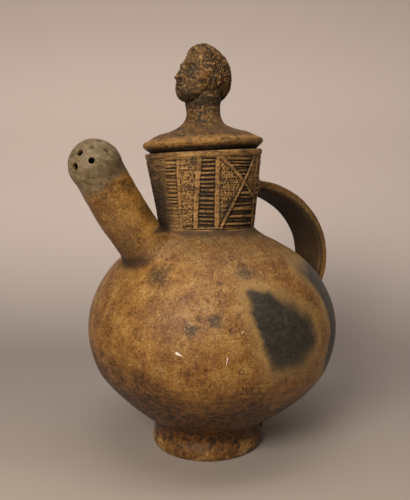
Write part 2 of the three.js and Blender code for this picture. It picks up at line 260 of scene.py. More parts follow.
def tapered(points):
    return [(radius * float(taper(z)), z) for radius, z in points]


def belly_offset(z):
    share = np.clip((z - FOOT_H) / (NECK_Z - FOOT_H), 0, 1)
    return BELLY_OFFSET * (1 - (2 * share - 1) ** 6)


def hand_built(p):
    """The belly bulges towards the handle, and the neck leans towards the spout."""
    p[:, 0] += belly_offset(p[:, 2])
    above = np.maximum(0, p[:, 2] - NECK_Z)
    x = p[:, 0].copy()
    p[:, 0] -= LEAN * above
    p[:, 2] += LEAN * np.minimum(1, above / NECK_H) * x
    return p


# The neck's carving, drawn on the unrolled neck. Borders are degrees from the spout's side, at the carving's
# top and foot. Both sides of the neck carry the same panels.
CARVED_LOW = 3.0
CARVED_HIGH = NECK_H - 6.0
CARVING_END = 150
PANEL_DEPTH = 0.2
BORDERS = {
    "comb_start": (14.0, 5.0),
    "comb_end": (28.5, 21.5),
    "stipple_start": (32.0, 26.0),
    "stipple_end": (48.0, 38.5),
    "ladder_start": (53.5, 45.0),
    "ladder_end": (66.2, 62.5),
    "cross_start": (71.0, 69.0),
    "cross_end": (117.0, 118.5),
    "back_start": (122.0, 123.0),
    "back_end": (146.0, 144.0),
}
PER_DEGREE = radians(1) * (NECK_R + RIM_R) / 2
NECK_ROWS = 46
PRICK_COLUMNS = 4
PRICK_ROWS = 3


def strokes(height, along, pitch, width, salt):
    """Depth from 0 to 1 of level strokes one above another, each a little uneven."""
    depth = 0.0
    nearest = np.round(height / pitch)
    for shift in (-1, 0, 1):
        i = nearest + shift
        slope = (scatter(i, 1, salt) - 0.5) * 0.04
        wander = (scatter(i, 0, salt) - 0.5) * 0.16 * pitch + slope * (np.abs(along) - 40)
        strength = 0.75 + 0.25 * scatter(i, 2, salt)
        depth = np.maximum(depth, strength * bell(height - i * pitch - wander, width))
    return depth


def stipple(column, row, salt):
    """Depth from 0 to 1 of small pricked marks in staggered rows. Marks sit on points of the neck's grid, so
    that each one keeps its full depth."""
    depth = 0.0
    level = np.round(row / PRICK_ROWS)
    for dz in (-1, 0, 1):
        i = level + dz
        offset = PRICK_COLUMNS / 2 * (i % 2)
        place = np.round((column - offset) / PRICK_COLUMNS)
        for dx in (-1, 0, 1):
            j = place + dx
            z = i * PRICK_ROWS + np.round(1.3 * (scatter(i, j, salt) - 0.5))
            x = j * PRICK_COLUMNS + offset + np.round(1.6 * (scatter(i, j, salt + 1) - 0.5))
            strength = 0.55 + 0.45 * scatter(i, j, salt + 2)
            mark = np.exp(-(((row - z) / 1.0) ** 2) - ((column - x) / 1.15) ** 2)
            depth = np.maximum(depth, strength * mark)
    return depth


def neck_relief(angle, height):
    """Outward shift in mm, at an angle in degrees from the spout and a height above the neck's base."""
    along = angle * PER_DEGREE
    pricks = stipple(angle * 2 * COLUMNS / 360, height * 2 * NECK_ROWS / (NECK_H - 3.4), 3)
    height = height + 0.35 * value_noise(along / 11, height / 9, 0 * along, 1)
    angle = angle + 0.45 * value_noise(along / 13, height / 7, 0 * along, 2)
    turn = np.abs(angle)
    share = np.clip((height - CARVED_LOW) / (CARVED_HIGH - CARVED_LOW), 0, 1)
    edge = {name: foot + (top - foot) * share for name, (top, foot) in BORDERS.items()}
    carved = ease(CARVED_LOW - 0.4, CARVED_LOW + 0.4, height)
    carved *= ease(CARVED_HIGH + 0.4, CARVED_HIGH - 0.4, height)

    def panel(start, end, soft=0.7):
        return ease(start - soft, start + soft, turn) * ease(end + soft, end - soft, turn)

    level = height + 0.03 * along

    def cuts(pitch, width, salt):
        return strokes(level, along, pitch, width, salt)

    relief = np.zeros_like(turn)
    front = panel(-20, edge["comb_start"])
    middle = panel(edge["stipple_start"], edge["stipple_end"])
    relief -= (front + middle) * (PANEL_DEPTH + 1.25 * pricks)
    comb = panel(edge["comb_start"] + 1.2, edge["comb_end"])
    relief -= comb * (PANEL_DEPTH + 1.1 * cuts(2.9, 0.72, 5))
    ladder = panel(edge["ladder_start"], edge["ladder_end"])
    relief -= ladder * (PANEL_DEPTH + 1.4 * cuts(3.3, 0.95, 6))

    # Crossed panel: strokes above and below the diagonals, pricks beside them
    cross = panel(edge["cross_start"], edge["cross_end"])
    falling = 73.5 + (117.5 - 73.5) * (CARVED_HIGH - 1 - height) / (CARVED_HIGH - 1 - NECK_H * 0.4)
    rising = 72.0 + (113.0 - 72.0) * (height - CARVED_LOW - 2) / (CARVED_HIGH - CARVED_LOW - 3)
    above = (turn > falling) & (turn < rising)
    below = (turn < falling) & (turn > rising)
    diagonal = np.maximum(bell(turn - falling, 2.0), bell(turn - rising, 1.7))
    beside = np.maximum(bell(np.abs(turn - falling) - 3.6, 1.0), bell(np.abs(turn - rising) - 3.2, 1.0))
    fill = np.where(above, cuts(2.3, 0.6, 7), np.where(below, cuts(3.1, 0.8, 8), pricks))
    bare = np.clip(1 - 1.6 * diagonal, 0, 1)
    relief -= cross * (PANEL_DEPTH * bare + 1.2 * bare * fill + 0.5 * beside)
    relief += cross * 0.15 * diagonal

    # Plainer panel near the handle
    back = panel(edge["back_start"], edge["back_end"])
    relief -= back * (PANEL_DEPTH + 0.9 * cuts(3.9, 0.9, 9))

    # Border lines, the tool's roughness, and level lines above and below
    for name in BORDERS:
        relief -= 0.55 * bell(turn - edge[name], 0.75) * (turn < CARVING_END)
    relief -= 0.35 * np.clip(value_noise(along / 1.3, height / 1.9, 0 * along, 4) - 0.1, 0, 1)
    relief *= carved
    relief -= 0.8 * bell(height - CARVED_HIGH - 0.6, 0.75)
    relief -= 0.8 * bell(height - CARVED_LOW + 1.0, 0.75) + 0.5 * bell(height - CARVED_LOW - 1.4, 0.6)
    return relief


def jug_outline():
    """(radius, height) pairs of the outside, from the underside's middle to the middle of the rim's plane."""
    inner = -arc_angle(FOOT_INSIDE - 3, BELLY_R, BOTTOM_FULLNESS)
    under = arc_points(BELLY_Z, BELLY_R, BOTTOM_DROP, -90, inner, 9, BOTTOM_FULLNESS)
    foot = [
        *corner_points(under[-1], (FOOT_INSIDE, under[-1][1] - 0.5), (FOOT_INSIDE + 0.6, 5), 6)[1:],
        *corner_points((FOOT_INSIDE + 0.8, 3), (FOOT_INSIDE + 1.2, 0), (FOOT_INSIDE + 3.4, 0), 5),
        *line_points((FOOT_INSIDE + 3.4, 0), (FOOT_R - 3.2, 0), 3),
        *corner_points((FOOT_R - 3.2, 0), (FOOT_R - 0.4, 0.1), (FOOT_R, 4), 9),
        *corner_points((FOOT_R, 5), (FOOT_R - 0.1, 10), (FOOT_WAIST, 14.5), 7),
    ]
    start = degrees(asin(((BELLY_Z - BELLY_START) / BOTTOM_DROP) ** (BOTTOM_FULLNESS / 2)))
    low = tapered(arc_points(BELLY_Z, BELLY_R, BOTTOM_DROP, -start, 0, 38, BOTTOM_FULLNESS))[1:]
    low = [q for q in low if q[1] > FOOT_H + 4]
    foot += corner_points(foot[-1], (FOOT_WAIST - 0.3, FOOT_H + 0.5), low[0], 10)[1:-1]
    high = arc_points(BELLY_Z, BELLY_R, SHOULDER_RISE, 0, arc_angle(NECK_R + 9, BELLY_R), 36)[1:]
    neck_low = (neck_radius(NECK_Z + 1.6), NECK_Z + 1.6)
    joint = corner_points(high[-1], (NECK_R + 0.6, NECK_Z - 1.2), neck_low, 9)[1:]
    rim_side = (RIM_R, RIM_Z - 1.8)
    neck = line_points(neck_low, rim_side, NECK_ROWS)
    rim = corner_points(rim_side, (RIM_R + 0.1, RIM_Z), (RIM_R - 2.4, RIM_Z), 5)
    top = [(RIM_R - 8, RIM_Z), (RIM_R - 16, RIM_Z), (0, RIM_Z)]
    return [*under, *foot, *low, *high, *joint, *neck, *rim, *top]


def on_carving(centre):
    return NECK_Z + 1.6 < centre.z < RIM_Z - 1.8 and centre.x**2 + centre.y**2 > (NECK_R - 3) ** 2


def jug_outside():
    obj = turned(jug_outline(), COLUMNS, "jug", on_carving)
    p = read_points(obj.data)
    radius = np.hypot(p[:, 0], p[:, 1])
    height = p[:, 2] - NECK_Z
    on_neck = (height > 0.2) & (height < NECK_H - 0.6) & (radius > NECK_R - 3)
    angle = np.degrees(np.arctan2(-p[:, 1], -p[:, 0]))
    shift = np.where(on_neck, neck_relief(angle, height), 0.0)
    scale = 1 + shift / np.maximum(radius, 1)
    p[:, 0] *= scale
    p[:, 1] *= scale
    write_points(obj.data, hand_built(p))
    return obj


def jug_cavity():
    radius = BELLY_R - WALL
    neck_inside = NECK_R - WALL * 0.9
    mouth = RIM_R - RIM_WALL
    neck_low = (neck_inside, NECK_Z + 4)
    outline = [
        *tapered(arc_points(BELLY_Z, radius, BOTTOM_DROP - WALL, -90, 0, 22, BOTTOM_FULLNESS)),
        *arc_points(BELLY_Z, radius, SHOULDER_RISE - WALL, 0, arc_angle(neck_inside + 6, radius), 18)[1:],
        *corner_points((neck_inside + 2, NECK_Z - 7), (neck_inside, NECK_Z - 3), neck_low, 5),
        *line_points(neck_low, (mouth, RIM_Z - 1.6), 12),
        *corner_points((mouth, RIM_Z - 1.6), (mouth + 0.2, RIM_Z), (mouth + 1.6, RIM_Z + 0.4), 4),
        (mouth + 1.6, RIM_Z + 30),
        (0, RIM_Z + 30),
    ]
    return moved(turned(outline, CAVITY_COLUMNS, "cavity"), hand_built)


SPOUT_DOWN = np.array([cos(SPOUT_RISE), 0, -sin(SPOUT_RISE)])
SPOUT_SIDE = np.array([sin(SPOUT_RISE), 0, cos(SPOUT_RISE)])


def along_spout(p):
    """Turns points made about +z, with the dome's middle at the origin, onto the spout's axis."""
    x, y, z = p.T
    return SPOUT_DOME + np.outer(x, SPOUT_SIDE) + np.outer(y, (0, 1, 0)) - np.outer(z, SPOUT_DOWN)


def spout_radius(depth):
    return SPOUT_TIP_R + (SPOUT_ROOT_R - SPOUT_TIP_R) * np.clip(depth / SPOUT_LENGTH, 0, 1.1)


def pinch(x, depth):
    """The spout's underside is pinched in where it joins the belly."""
    amount = SPOUT_PINCH / SPOUT_ROOT_R * ease(SPOUT_LENGTH * 0.45, SPOUT_LENGTH, depth)
    return np.where(x < 0, 1 - amount, 1.0)


def spout_outside():
    depths = np.linspace(SPOUT_LENGTH + 6, 10, 34)
    dome = arc_points(0, SPOUT_DOME_R, SPOUT_DOME_R, -16, 90, 26)
    outline = [(0, -depths[0])] + [(float(spout_radius(d)), -float(d)) for d in depths] + dome
    obj = turned(outline, SPOUT_COLUMNS, "spout")
    p = read_points(obj.data)
    p[:, 0] *= pinch(p[:, 0], -p[:, 2])
    write_points(obj.data, along_spout(p))
    return obj


def spout_bore():
    tip = SPOUT_TIP_R - SPOUT_WALL
    root = SPOUT_ROOT_R - SPOUT_WALL - SPOUT_PINCH / 2
    outline = [
        (0, -SPOUT_LENGTH - 15),
        (root, -SPOUT_LENGTH - 15),
        *line_points((root, -SPOUT_LENGTH - 15), (tip, 0), 16),
        *arc_points(0, tip, SPOUT_DOME_R - SPOUT_WALL, 4, 90, 10),
    ]
    return moved(turned(outline, BORE_COLUMNS, "bore"), along_spout)


# Rings of strainer holes, as degrees off the spout's axis and the first hole's turn. CLOGGED lists the holes
# filled with old sediment, as (ring, number).
STRAINER_RINGS = {1: (38, 0), 2: (65, 22.5)}
HOLES_PER_RING = 8
HOLE_R = 1.85
FILLING_DENT = 1.6
FILLING_R = 1.9
CLOGGED = {(1, 4), (1, 6), (1, 7), (2, 6)}


def hole_direction(ring, i):
    """A hole's direction from the dome's middle."""
    polar, first = STRAINER_RINGS[ring]
    tilt, turn = radians(polar), radians(first + 360 / HOLES_PER_RING * i)
    local = np.array([[sin(tilt) * cos(turn), sin(tilt) * sin(turn), cos(tilt)]])
    return (along_spout(local) - SPOUT_DOME)[0]


def off_hole(p, ring, i):
    """Distance in mm over the dome from a hole's middle."""
    return length(normalised(p - SPOUT_DOME) - hole_direction(ring, i)) * SPOUT_DOME_R


def strainer_holes():
    """Two staggered rings of holes through the dome, pricked by hand, so they differ a little."""
    bm = bmesh.new()
    for ring, (polar, first) in STRAINER_RINGS.items():
        for i in range(HOLES_PER_RING):
            if (ring, i) in CLOGGED:
                continue
            size, lean, slip = (float(scatter(i, ring, salt)) for salt in (4, 5, 6))
            radius = HOLE_R + 0.5 * size
            radii = {"radius1": radius * 0.8, "radius2": radius * 1.3}
            made = bmesh.ops.create_cone(bm, cap_ends=True, segments=20, depth=SPOUT_DOME_R * 0.9, **radii)
            tilt = radians(polar + 3 * (lean - 0.5))
            turn = radians(first + 360 / HOLES_PER_RING * i + 5 * (slip - 0.5))
            for v in made["verts"]:
                x, y, z = v.co.x, v.co.y, v.co.z + SPOUT_DOME_R * 0.75
                x, z = x * cos(tilt) + z * sin(tilt), -x * sin(tilt) + z * cos(tilt)
                v.co = (x * cos(turn) - y * sin(turn), x * sin(turn) + y * cos(turn), z)
    return moved(object_from(bm, "holes"), along_spout)


def bezier(points, count):
    t = np.linspace(0, 1, count)[:, None]
    a, b, c, d = (np.array(q, float) for q in points)
    return (1 - t) ** 3 * a + 3 * t * (1 - t) ** 2 * b + 3 * t * t * (1 - t) * c + t**3 * d


def strap_line():
    """The strap's middle line as (x, z), from inside the neck's wall to inside the belly's."""
    top = RIM_Z - 28.5
    neck_x = neck_radius(top) - LEAN * (top - NECK_Z) - RIM_WALL / 2
    far_x = BELLY_OFFSET + BELLY_R + 20.2 - STRAP_HALF_THICKNESS - 1.5
    foot_x = BELLY_OFFSET + BELLY_R * sqrt(1 - ((115 - BELLY_Z) / SHOULDER_RISE) ** 2) - WALL / 2
    upper = bezier([(neck_x, top), (neck_x + 44, top), (far_x, top - 32), (far_x, 153)], 90)
    lower = bezier([(far_x, 153), (far_x, 137), (far_x - 9, 125), (foot_x, 115)], 30)
    return np.vstack([upper, lower[1:]])


STRAP = strap_line()


def strap_handle():
    """A rounded strap swept along its line, a little thicker at its edges."""
    bm = bmesh.new()
    section = []
    for angle in np.linspace(0, 2 * pi, 32, endpoint=False):
        c, s = cos(angle), sin(angle)
        across = STRAP_HALF_WIDTH * copysign(abs(c) ** 0.3, c)
        thick = STRAP_HALF_THICKNESS * copysign(abs(s) ** 0.55, s)
        thick *= 1 - 0.1 * (1 - (across / STRAP_HALF_WIDTH) ** 2)
        section.append((across, thick))
    tangent = np.gradient(STRAP, axis=0)
    tangent /= length(tangent)[:, None]
    rings = []
    for (x, z), (tx, tz) in zip(STRAP, tangent):
        rings.append([bm.verts.new((x - tz * thick, across, z + tx * thick)) for across, thick in section])
    for first, second in zip(rings, rings[1:]):
        for k in range(len(section)):
            n = (k + 1) % len(section)
            bm.faces.new((first[k], first[n], second[n], second[k]))
    bm.faces.new(rings[0])
    bm.faces.new(rings[-1])
    return object_from(bm, "strap")


def belly_distance(p):
    """Signed distance, near enough, to the belly and the neck together."""
    x = p[:, 0] - belly_offset(p[:, 2])
    z = p[:, 2] - BELLY_Z
    radius = np.hypot(x, p[:, 1]) / taper(p[:, 2])
    tall = np.where(z > 0, SHOULDER_RISE, BOTTOM_DROP)
    g = np.sqrt((radius / BELLY_R) ** 2 + (z / tall) ** 2) + 1e-9
    slope = np.sqrt((radius / BELLY_R**2) ** 2 + (z / tall**2) ** 2) / g + 1e-9
    belly = (g - 1) / slope
    lean_x = p[:, 0] + LEAN * np.maximum(0, p[:, 2] - NECK_Z)
    neck = np.hypot(lean_x, p[:, 1]) - neck_radius(p[:, 2])
    neck = np.where(p[:, 2] > NECK_Z - 4, neck, 1e3)
    return np.minimum(belly, neck)


def spout_distance(p):
    rel = p - SPOUT_DOME
    depth = rel @ SPOUT_DOWN
    x = rel @ SPOUT_SIDE
    x = x / pinch(x, depth)
    side = np.hypot(x, p[:, 1]) - spout_radius(depth)
    return np.where(depth < 5.5, length(rel) - SPOUT_DOME_R, side)


def strap_distance(p):
    flat = p[:, [0, 2]]
    best = np.full(len(p), 1e9)
    for start in range(0, len(STRAP), 4):
        best = np.minimum(best, length(flat - STRAP[start]))
    near = best < 30
    exact = best.copy()
    if near.any():
        q = flat[near]
        low = np.full(len(q), 1e9)
        for a, b in zip(STRAP, STRAP[1:]):
            t = np.clip(((q - a) @ (b - a)) / ((b - a) @ (b - a)), 0, 1)
            low = np.minimum(low, length(q - a - t[:, None] * (b - a)))
        exact[near] = low
    e = exact - STRAP_HALF_THICKNESS
    w = np.abs(p[:, 1]) - STRAP_HALF_WIDTH
    return np.hypot(np.maximum(e, 0), np.maximum(w, 0)) + np.minimum(np.maximum(e, w), 0)


def gradient(field, p):
    step = 0.4
    columns = []
    for axis in range(3):
        move = np.zeros(3)
        move[axis] = step
        columns.append(field(p + move) - field(p - move))
    return normalised(np.stack(columns, 1))


def fill_joint(p, first, second, reach):
    """Works clay into the corner between two forms: moves points out by a smooth union's extra depth."""
    a, b, reach = first(p), second(p), reach(p)
    lift = reach / 4 * np.clip(1 - np.abs(a - b) / reach, 0, 1) ** 2
    lift *= (np.minimum(np.abs(a), np.abs(b)) < 3) & (lift > 0.01)
    near = lift > 0
    if near.any():
        q = p[near]
        share = np.clip(0.5 + 0.5 * (b[near] - a[near]) / reach[near], 0, 1)[:, None]
        way = share * gradient(first, q) + (1 - share) * gradient(second, q)
        p[near] += normalised(way) * lift[near][:, None]
    return p


def spout_joint_reach(p):
    """The corner is filled on the side towards the neck and left sharp on the underside."""
    side = ((p - SPOUT_DOME) @ SPOUT_SIDE) / SPOUT_ROOT_R
    return 4.0 + 20.0 * ease(-1.0, 0.35, side)


def strap_joint_reach(p):
    return np.full(len(p), 9.0)


def uneven(p, *layers):
    """Noise in mm, as the sum of layers of (size, amount, salt)."""
    return sum(amount * value_noise(*(p.T / size), salt) for size, amount, salt in layers)


BELLY_MIDDLE = np.array([BELLY_OFFSET, 0, BELLY_Z])
IN_PLAN = np.array([1, 1, 0])

# Pits and spalls in the belly, as (direction from its middle, depth, half width) in mm
CHIPS = [
    ((-0.62, -0.75, 0.22), 0.8, 2.4),
    ((-0.66, -0.74, 0.05), 0.9, 3.0),
    ((-0.35, -0.93, -0.12), 0.5, 1.8),
    ((0.05, -0.99, -0.18), 0.4, 1.6),
    ((0.55, -0.8, 0.3), 0.6, 2.2),
    ((0.3, 0.9, 0.2), 0.8, 2.8),
    ((0.8, 0.5, -0.3), 0.9, 3.2),
]


def weather_jug(p):
    """Uneven hand-smoothing, small pits and worn edges, all by moving points."""
    on_belly = ease(NECK_Z + 2, NECK_Z - 14, p[:, 2]) * ease(FOOT_H - 4, FOOT_H + 14, p[:, 2])
    on_belly *= ease(125, 112, length(p - BELLY_MIDDLE))
    amount = uneven(p, (46, 0.55, 11), (17, 0.16, 12)) - 0.35
    way = normalised(p - BELLY_MIDDLE)
    p += way * (amount * on_belly)[:, None]
    for direction, depth, width in CHIPS:
        direction = np.array(direction) / np.linalg.norm(direction)
        p -= way * (depth * bell(length(way - direction) * 100, width) * on_belly)[:, None]
    on_spout = ease(3, 0, np.abs(spout_distance(p))) * ease(8, 22, belly_distance(p))
    out = gradient(spout_distance, p)
    p += out * ((uneven(p, (14, 0.3, 13), (5, 0.12, 14)) - 0.3) * on_spout)[:, None]
    for ring, i in CLOGGED:
        p -= hole_direction(ring, i) * (FILLING_DENT * bell(off_hole(p, ring, i), FILLING_R))[:, None]
    on_strap = ease(4, 0, np.abs(strap_distance(p))) * ease(2, 8, belly_distance(p))
    out = gradient(strap_distance, p)
    p += out * (uneven(p, (16, 0.45, 15), (6, 0.15, 16)) * on_strap)[:, None]
    low = ease(FOOT_H + 4, FOOT_H - 4, p[:, 2]) * (np.hypot(p[:, 0], p[:, 1]) > FOOT_INSIDE + 3)
    edge = low * uneven(p, (9, 0.35, 17), (3.5, 0.15, 18)) * ease(0.2, 2.5, p[:, 2])
    p += normalised(p * IN_PLAN) * edge[:, None]
    p[:, 2] = np.maximum(p[:, 2], 0.01)
    return p


def store(mesh, fields):
    for name, values in fields.items():
        attribute = mesh.attributes.new(name, "FLOAT", "POINT")
        attribute.data.foreach_set("value", np.clip(values, -10, 10).astype(np.float32))


def on_part(p):
    """From millimetres in the jug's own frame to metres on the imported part."""
    return (p + np.array([FOOT_X, 0, 0])) * METRES


def build_jug():
    jug = jug_outside()
    for other in (spout_outside(), strap_handle()):
        combine(jug, other, "UNION")
    p = fill_joint(read_points(jug.data), belly_distance, spout_distance, spout_joint_reach)
    p = fill_joint(p, belly_distance, strap_distance, strap_joint_reach)
    write_points(jug.data, weather_jug(p))
    for other in (combine(jug_cavity(), spout_bore(), "UNION"), strainer_holes()):
        combine(jug, other, "DIFFERENCE")
    return jug


def depth_inside(x, z, outline):
    """Distance in mm to a closed outline, positive inside it."""
    best = np.full(len(x), 1e9)
    inside = np.zeros(len(x), bool)
    for (ax, az), (bx, bz) in zip(outline, outline[1:] + outline[:1]):
        dx, dz = bx - ax, bz - az
        t = np.clip(((x - ax) * dx + (z - az) * dz) / (dx * dx + dz * dz), 0, 1)
        best = np.minimum(best, np.hypot(x - ax - t * dx, z - az - t * dz))
        if dz != 0:
            inside ^= ((az > z) != (bz > z)) & (x < ax + (z - az) / dz * dx)
    return np.where(inside, best, -best)


# The direction of the photo's right, and the middle of the handle's gap as (x, z)
PHOTO_RIGHT = (0.82, -0.57, 0)
GAP_MIDDLE = np.array([72.0, 165.0])


def inside_strap():
    """The strap's middle line seen from the gap's middle, as (bearings, distances) in order of bearing."""
    rel = STRAP - GAP_MIDDLE
    bearing = np.arctan2(rel[:, 1], rel[:, 0])
    order = np.argsort(bearing)
    return bearing[order], np.hypot(rel[:, 0], rel[:, 1])[order]


def cloud_depth(p):
    """Depth in cm inside the nearest fire cloud, below zero outside."""
    arc = radians(1) * BELLY_R
    across = np.degrees(np.arctan2(-p[:, 1], BELLY_OFFSET - p[:, 0])) * arc
    cloud = np.full(len(p), -30.0)
    for outline in FIRE_CLOUDS:
        cloud = np.maximum(cloud, depth_inside(across, p[:, 2], [(a * arc, z) for a, z in outline]))
    return cloud / 10


def mark_jug(mesh):
    """Soft fields that the clay's colours follow, worked out at each point."""
    p = read_points(mesh)
    x = p[:, 0] + LEAN * np.maximum(0, p[:, 2] - NECK_Z)
    radius = np.hypot(x, p[:, 1])
    height = p[:, 2] - LEAN * np.clip((p[:, 2] - NECK_Z) / NECK_H, 0, 1) * p[:, 0] - NECK_Z
    spout_d, belly_d, strap_d = spout_distance(p), belly_distance(p), strap_distance(p)
    depth = (p - SPOUT_DOME) @ SPOUT_DOWN
    side = (p - SPOUT_DOME) @ SPOUT_SIDE

    neck = ease(-1, 1.5, height) * ease(NECK_H + 1, NECK_H - 0.5, height)
    neck = neck * ((radius > NECK_R - 4) & (spout_d > 1) & (strap_d > 1))
    stain = np.full(len(p), -1.0)
    for centre, size in STAINS:
        stain = np.maximum(stain, 1 - length((p - np.array(centre)) / size))
    in_mouth = (radius < NECK_R - 1) & (p[:, 2] > NECK_Z - 8) & (p[:, 2] < RIM_Z + 6) & (spout_d > 4)
    filled = np.zeros(len(p))
    for ring, i in CLOGGED:
        filled = np.maximum(filled, bell(off_hole(p, ring, i), 2.2))

    under = ease(0.1, -0.8, side / SPOUT_TIP_R)
    on_spout = ease(2.5, 0, np.abs(spout_d)) * ease(0, 6, belly_d)
    near_spout = ease(10, 0, spout_d) * ease(0, 12, belly_d)
    # Painted shade: in the corner under the spout's root, on the strap's inner face, on the neck's side
    # towards the spout (stronger low down), in a ring round the neck's foot, and along the spout's underside
    # towards its root
    crease_shade = ease(9, 0, spout_d) * ease(9, 0, belly_d) * ease(0.5, -0.4, side / SPOUT_ROOT_R)
    rel = p[:, [0, 2]] - GAP_MIDDLE
    short = np.hypot(rel[:, 0], rel[:, 1]) - np.interp(np.arctan2(rel[:, 1], rel[:, 0]), *inside_strap())
    strap_inside_shade = ease(3, 0.5, np.abs(strap_d)) * ease(1, 6, belly_d) * ease(0.5, -3.5, short)
    photo_left = -(PHOTO_RIGHT[0] * x + PHOTO_RIGHT[1] * p[:, 1])
    shadow = ease(20, 37, photo_left) * (0.6 + 0.6 * ease(NECK_H * 0.85, NECK_H * 0.3, height)) * neck
    spout_underside_shade = 0.6 * under * on_spout * ease(34, 66, depth)
    neck_foot_shade = bell(np.hypot(radius - NECK_R, height), 7) * (height < 1) * (p[:, 2] > NECK_Z - 20)
    fields = {
        # Painted shade in the neck's cuts and pricks, darker where they are deeper
        "recess_shade": np.clip((neck_radius(NECK_Z + height) - radius) / 1.3, 0, 1.2) * neck,
        "neck": neck,
        "cloud": cloud_depth(p),
        "stain": stain,
        "inside": (((belly_d < -3.5) & (spout_d > 6)) | in_mouth).astype(float),
        # The painted shade above, gathered in one field
        "painted_shade_and_dark_clay": np.clip(crease_shade + strap_inside_shade + shadow + 0.8 * neck_foot_shade + spout_underside_shade, 0, 1),
        "grey": np.clip(on_spout * (ease(18, 3, depth) + 0.12 * under), 0, 1),
        "spout": near_spout * (0.4 + 0.6 * ease(-0.9, 0.2, side / SPOUT_TIP_R)),
        "filled": filled,
    }
    store(mesh, fields)


# Fire clouds on the belly, outlined by (degrees from the spout's side, height in mm)
FIRE_CLOUDS = [
    [(70.5, 147), (80, 146), (90, 137), (101, 125), (103, 105), (94, 91), (79, 91), (74, 112), (71, 129)],
    [(110, 156), (114, 141), (117, 122), (116, 100), (113, 86), (120, 68), (146, 62), (165, 88), (158, 128),
     (138, 158)],
    [(-150, 97), (-141, 106), (-138, 119), (-142, 131), (-151, 138), (-163, 136), (-170, 125), (-170, 110),
     (-162, 100)],
]
# Brown stains as (centre, size) in mm
STAINS = [
    ((-93, 12, 60), 38),
    ((-84, -40, 46), 22),
    ((-66, -74, 122), 8),
    ((-52, -84, 128), 9),
    ((-70, -36, 156), 14),
    ((-20, -78, 160), 12),
    ((-84, 34, 64), 36),
    ((-62, -48, 38), 18),
    ((-38, -66, 34), 14),
    ((60, 80, 70), 40),
]


# Lid
def lid_top(share):
    return LID_EDGE + LID_RISE * share


def lid_plate():
    head_foot = HEAD_Z - HEAD_H * 0.34
    seat = LID_R - 6.2
    inner = FLANGE_R - 6
    low = -FLANGE_DEPTH
    side = (LID_R - 1.2, LID_EDGE - 1.6)

    def under(share):
        return lid_top(share) - LID_WALL

    cone = [
        (LID_R - 1.1, LID_EDGE + 2.5),
        (LID_R - 4.4, lid_top(0.3)),
        (LID_R - 8.5, lid_top(0.475)),
        (LID_R * 0.72, lid_top(0.65)),
        (LID_R * 0.6, lid_top(0.77)),
        (LID_R * 0.5, lid_top(0.89)),
        (LID_R * 0.41, lid_top(1.05)),
        (KNOB_NECK_R + 3.1, lid_top(1.27)),
        (KNOB_NECK_R + 1.5, lid_top(1.45)),
        (KNOB_NECK_R + 0.4, lid_top(1.68)),
        (KNOB_NECK_R, KNOB_NECK_Z),
        (KNOB_NECK_R + 0.3, KNOB_NECK_Z + 5),
        (KNOB_NECK_R + 1.2, head_foot),
        (KNOB_NECK_R + 0.8, head_foot + HEAD_H * 0.1),
    ]
    outline = [
        (0, under(1)),
        *line_points((0, under(1)), (inner, under(0.55)), 8),
        *corner_points((inner - 2, under(0.58)), (inner, under(0.55)), (inner, under(0.5) - 2), 4),
        *line_points((inner, under(0.5) - 2), (inner, 1 - FLANGE_DEPTH), 4),
        *corner_points((inner, 1 - FLANGE_DEPTH), (inner + 0.2, low), (inner + 1.5, low), 4),
        *corner_points((FLANGE_R - 1.8, low), (FLANGE_R, low), (FLANGE_R, -6.2), 4),
        *line_points((FLANGE_R, -6.2), (FLANGE_R, -0.5), 4),
        (FLANGE_R, 0),
        *line_points((FLANGE_R, 0), (seat, 0), 3),
        (seat, 0),
        *line_points((seat, 0), side, 5),
        *corner_points(side, (LID_R + 0.35, LID_EDGE + 0.3), (LID_R - 0.9, LID_EDGE + 2.2), 8),
        *spline(cone, 1.1),
        (KNOB_NECK_R - 5, head_foot + HEAD_H * 0.18),
        (0, head_foot + HEAD_H * 0.18),
    ]
    obj = turned(outline, LID_COLUMNS, "lid")
    p = read_points(obj.data)
    p[:, 0] += KNOB_SETBACK * ease(lid_top(0.9), KNOB_NECK_Z, p[:, 2])
    top = ease(LID_EDGE - 2, LID_EDGE + 1, p[:, 2])
    p[:, 2] += top * uneven(p, (15, 0.35, 21), (5, 0.13, 22))
    rough = ease(lid_top(0.7), lid_top(1.4), p[:, 2])
    out = normalised(p * IN_PLAN)
    p += out * (uneven(p, (7, 0.45, 23), (3, 0.2, 24)) * rough)[:, None]
    edge = ease(LID_R - 7, LID_R - 2, np.hypot(p[:, 0], p[:, 1]))
    p += out * (uneven(p, (12, 0.35, 25)) * edge)[:, None]
    write_points(obj.data, p)
    return obj


def spline(points, step):
    """A smooth curve through points, in steps of about the given length."""
    q = np.array(points, float)
    q = np.vstack([2 * q[0] - q[1], q, 2 * q[-1] - q[-2]])
    out = []
    for a, b, c, d in zip(q, q[1:], q[2:], q[3:]):
        count = max(2, int(np.linalg.norm(c - b) / step))
        for t in np.linspace(0, 1, count, endpoint=False):
            bend = (2 * a - 5 * b + 4 * c - d) * t * t + (3 * b - a - 3 * c + d) * t**3
            out.append(0.5 * (2 * b + (c - a) * t + bend))
    out.append(q[-2])
    return [tuple(map(float, v)) for v in out]


# Bumps and hollows of a calm, general face, in shares of the head's height from the face's middle:
# how far forward, place and half width sideways, place and half height upward
FACE = [
    (0.034, 0.055, 0.028, -0.198, 0.03),  # wings of the nose
    (-0.03, 0.03, 0.014, -0.232, 0.014),  # nostrils
    (-0.055, 0.135, 0.075, 0.005, 0.055),  # eye sockets
    (0.046, 0.138, 0.05, 0, 0.03),  # eyes
    (0.02, 0.19, 0.08, -0.15, 0.1),  # cheeks
    (0.044, 0, 0.15, -0.31, 0.09),  # swell of the mouth
    (0.028, 0, 0.09, -0.343, 0.022),  # lower lip
    (-0.022, 0, 0.1, -0.316, 0.008),  # parting of the lips
    (-0.012, 0, 0.016, -0.26, 0.02),  # groove over the lips
    (0.035, 0, 0.12, -0.44, 0.06),  # chin
]


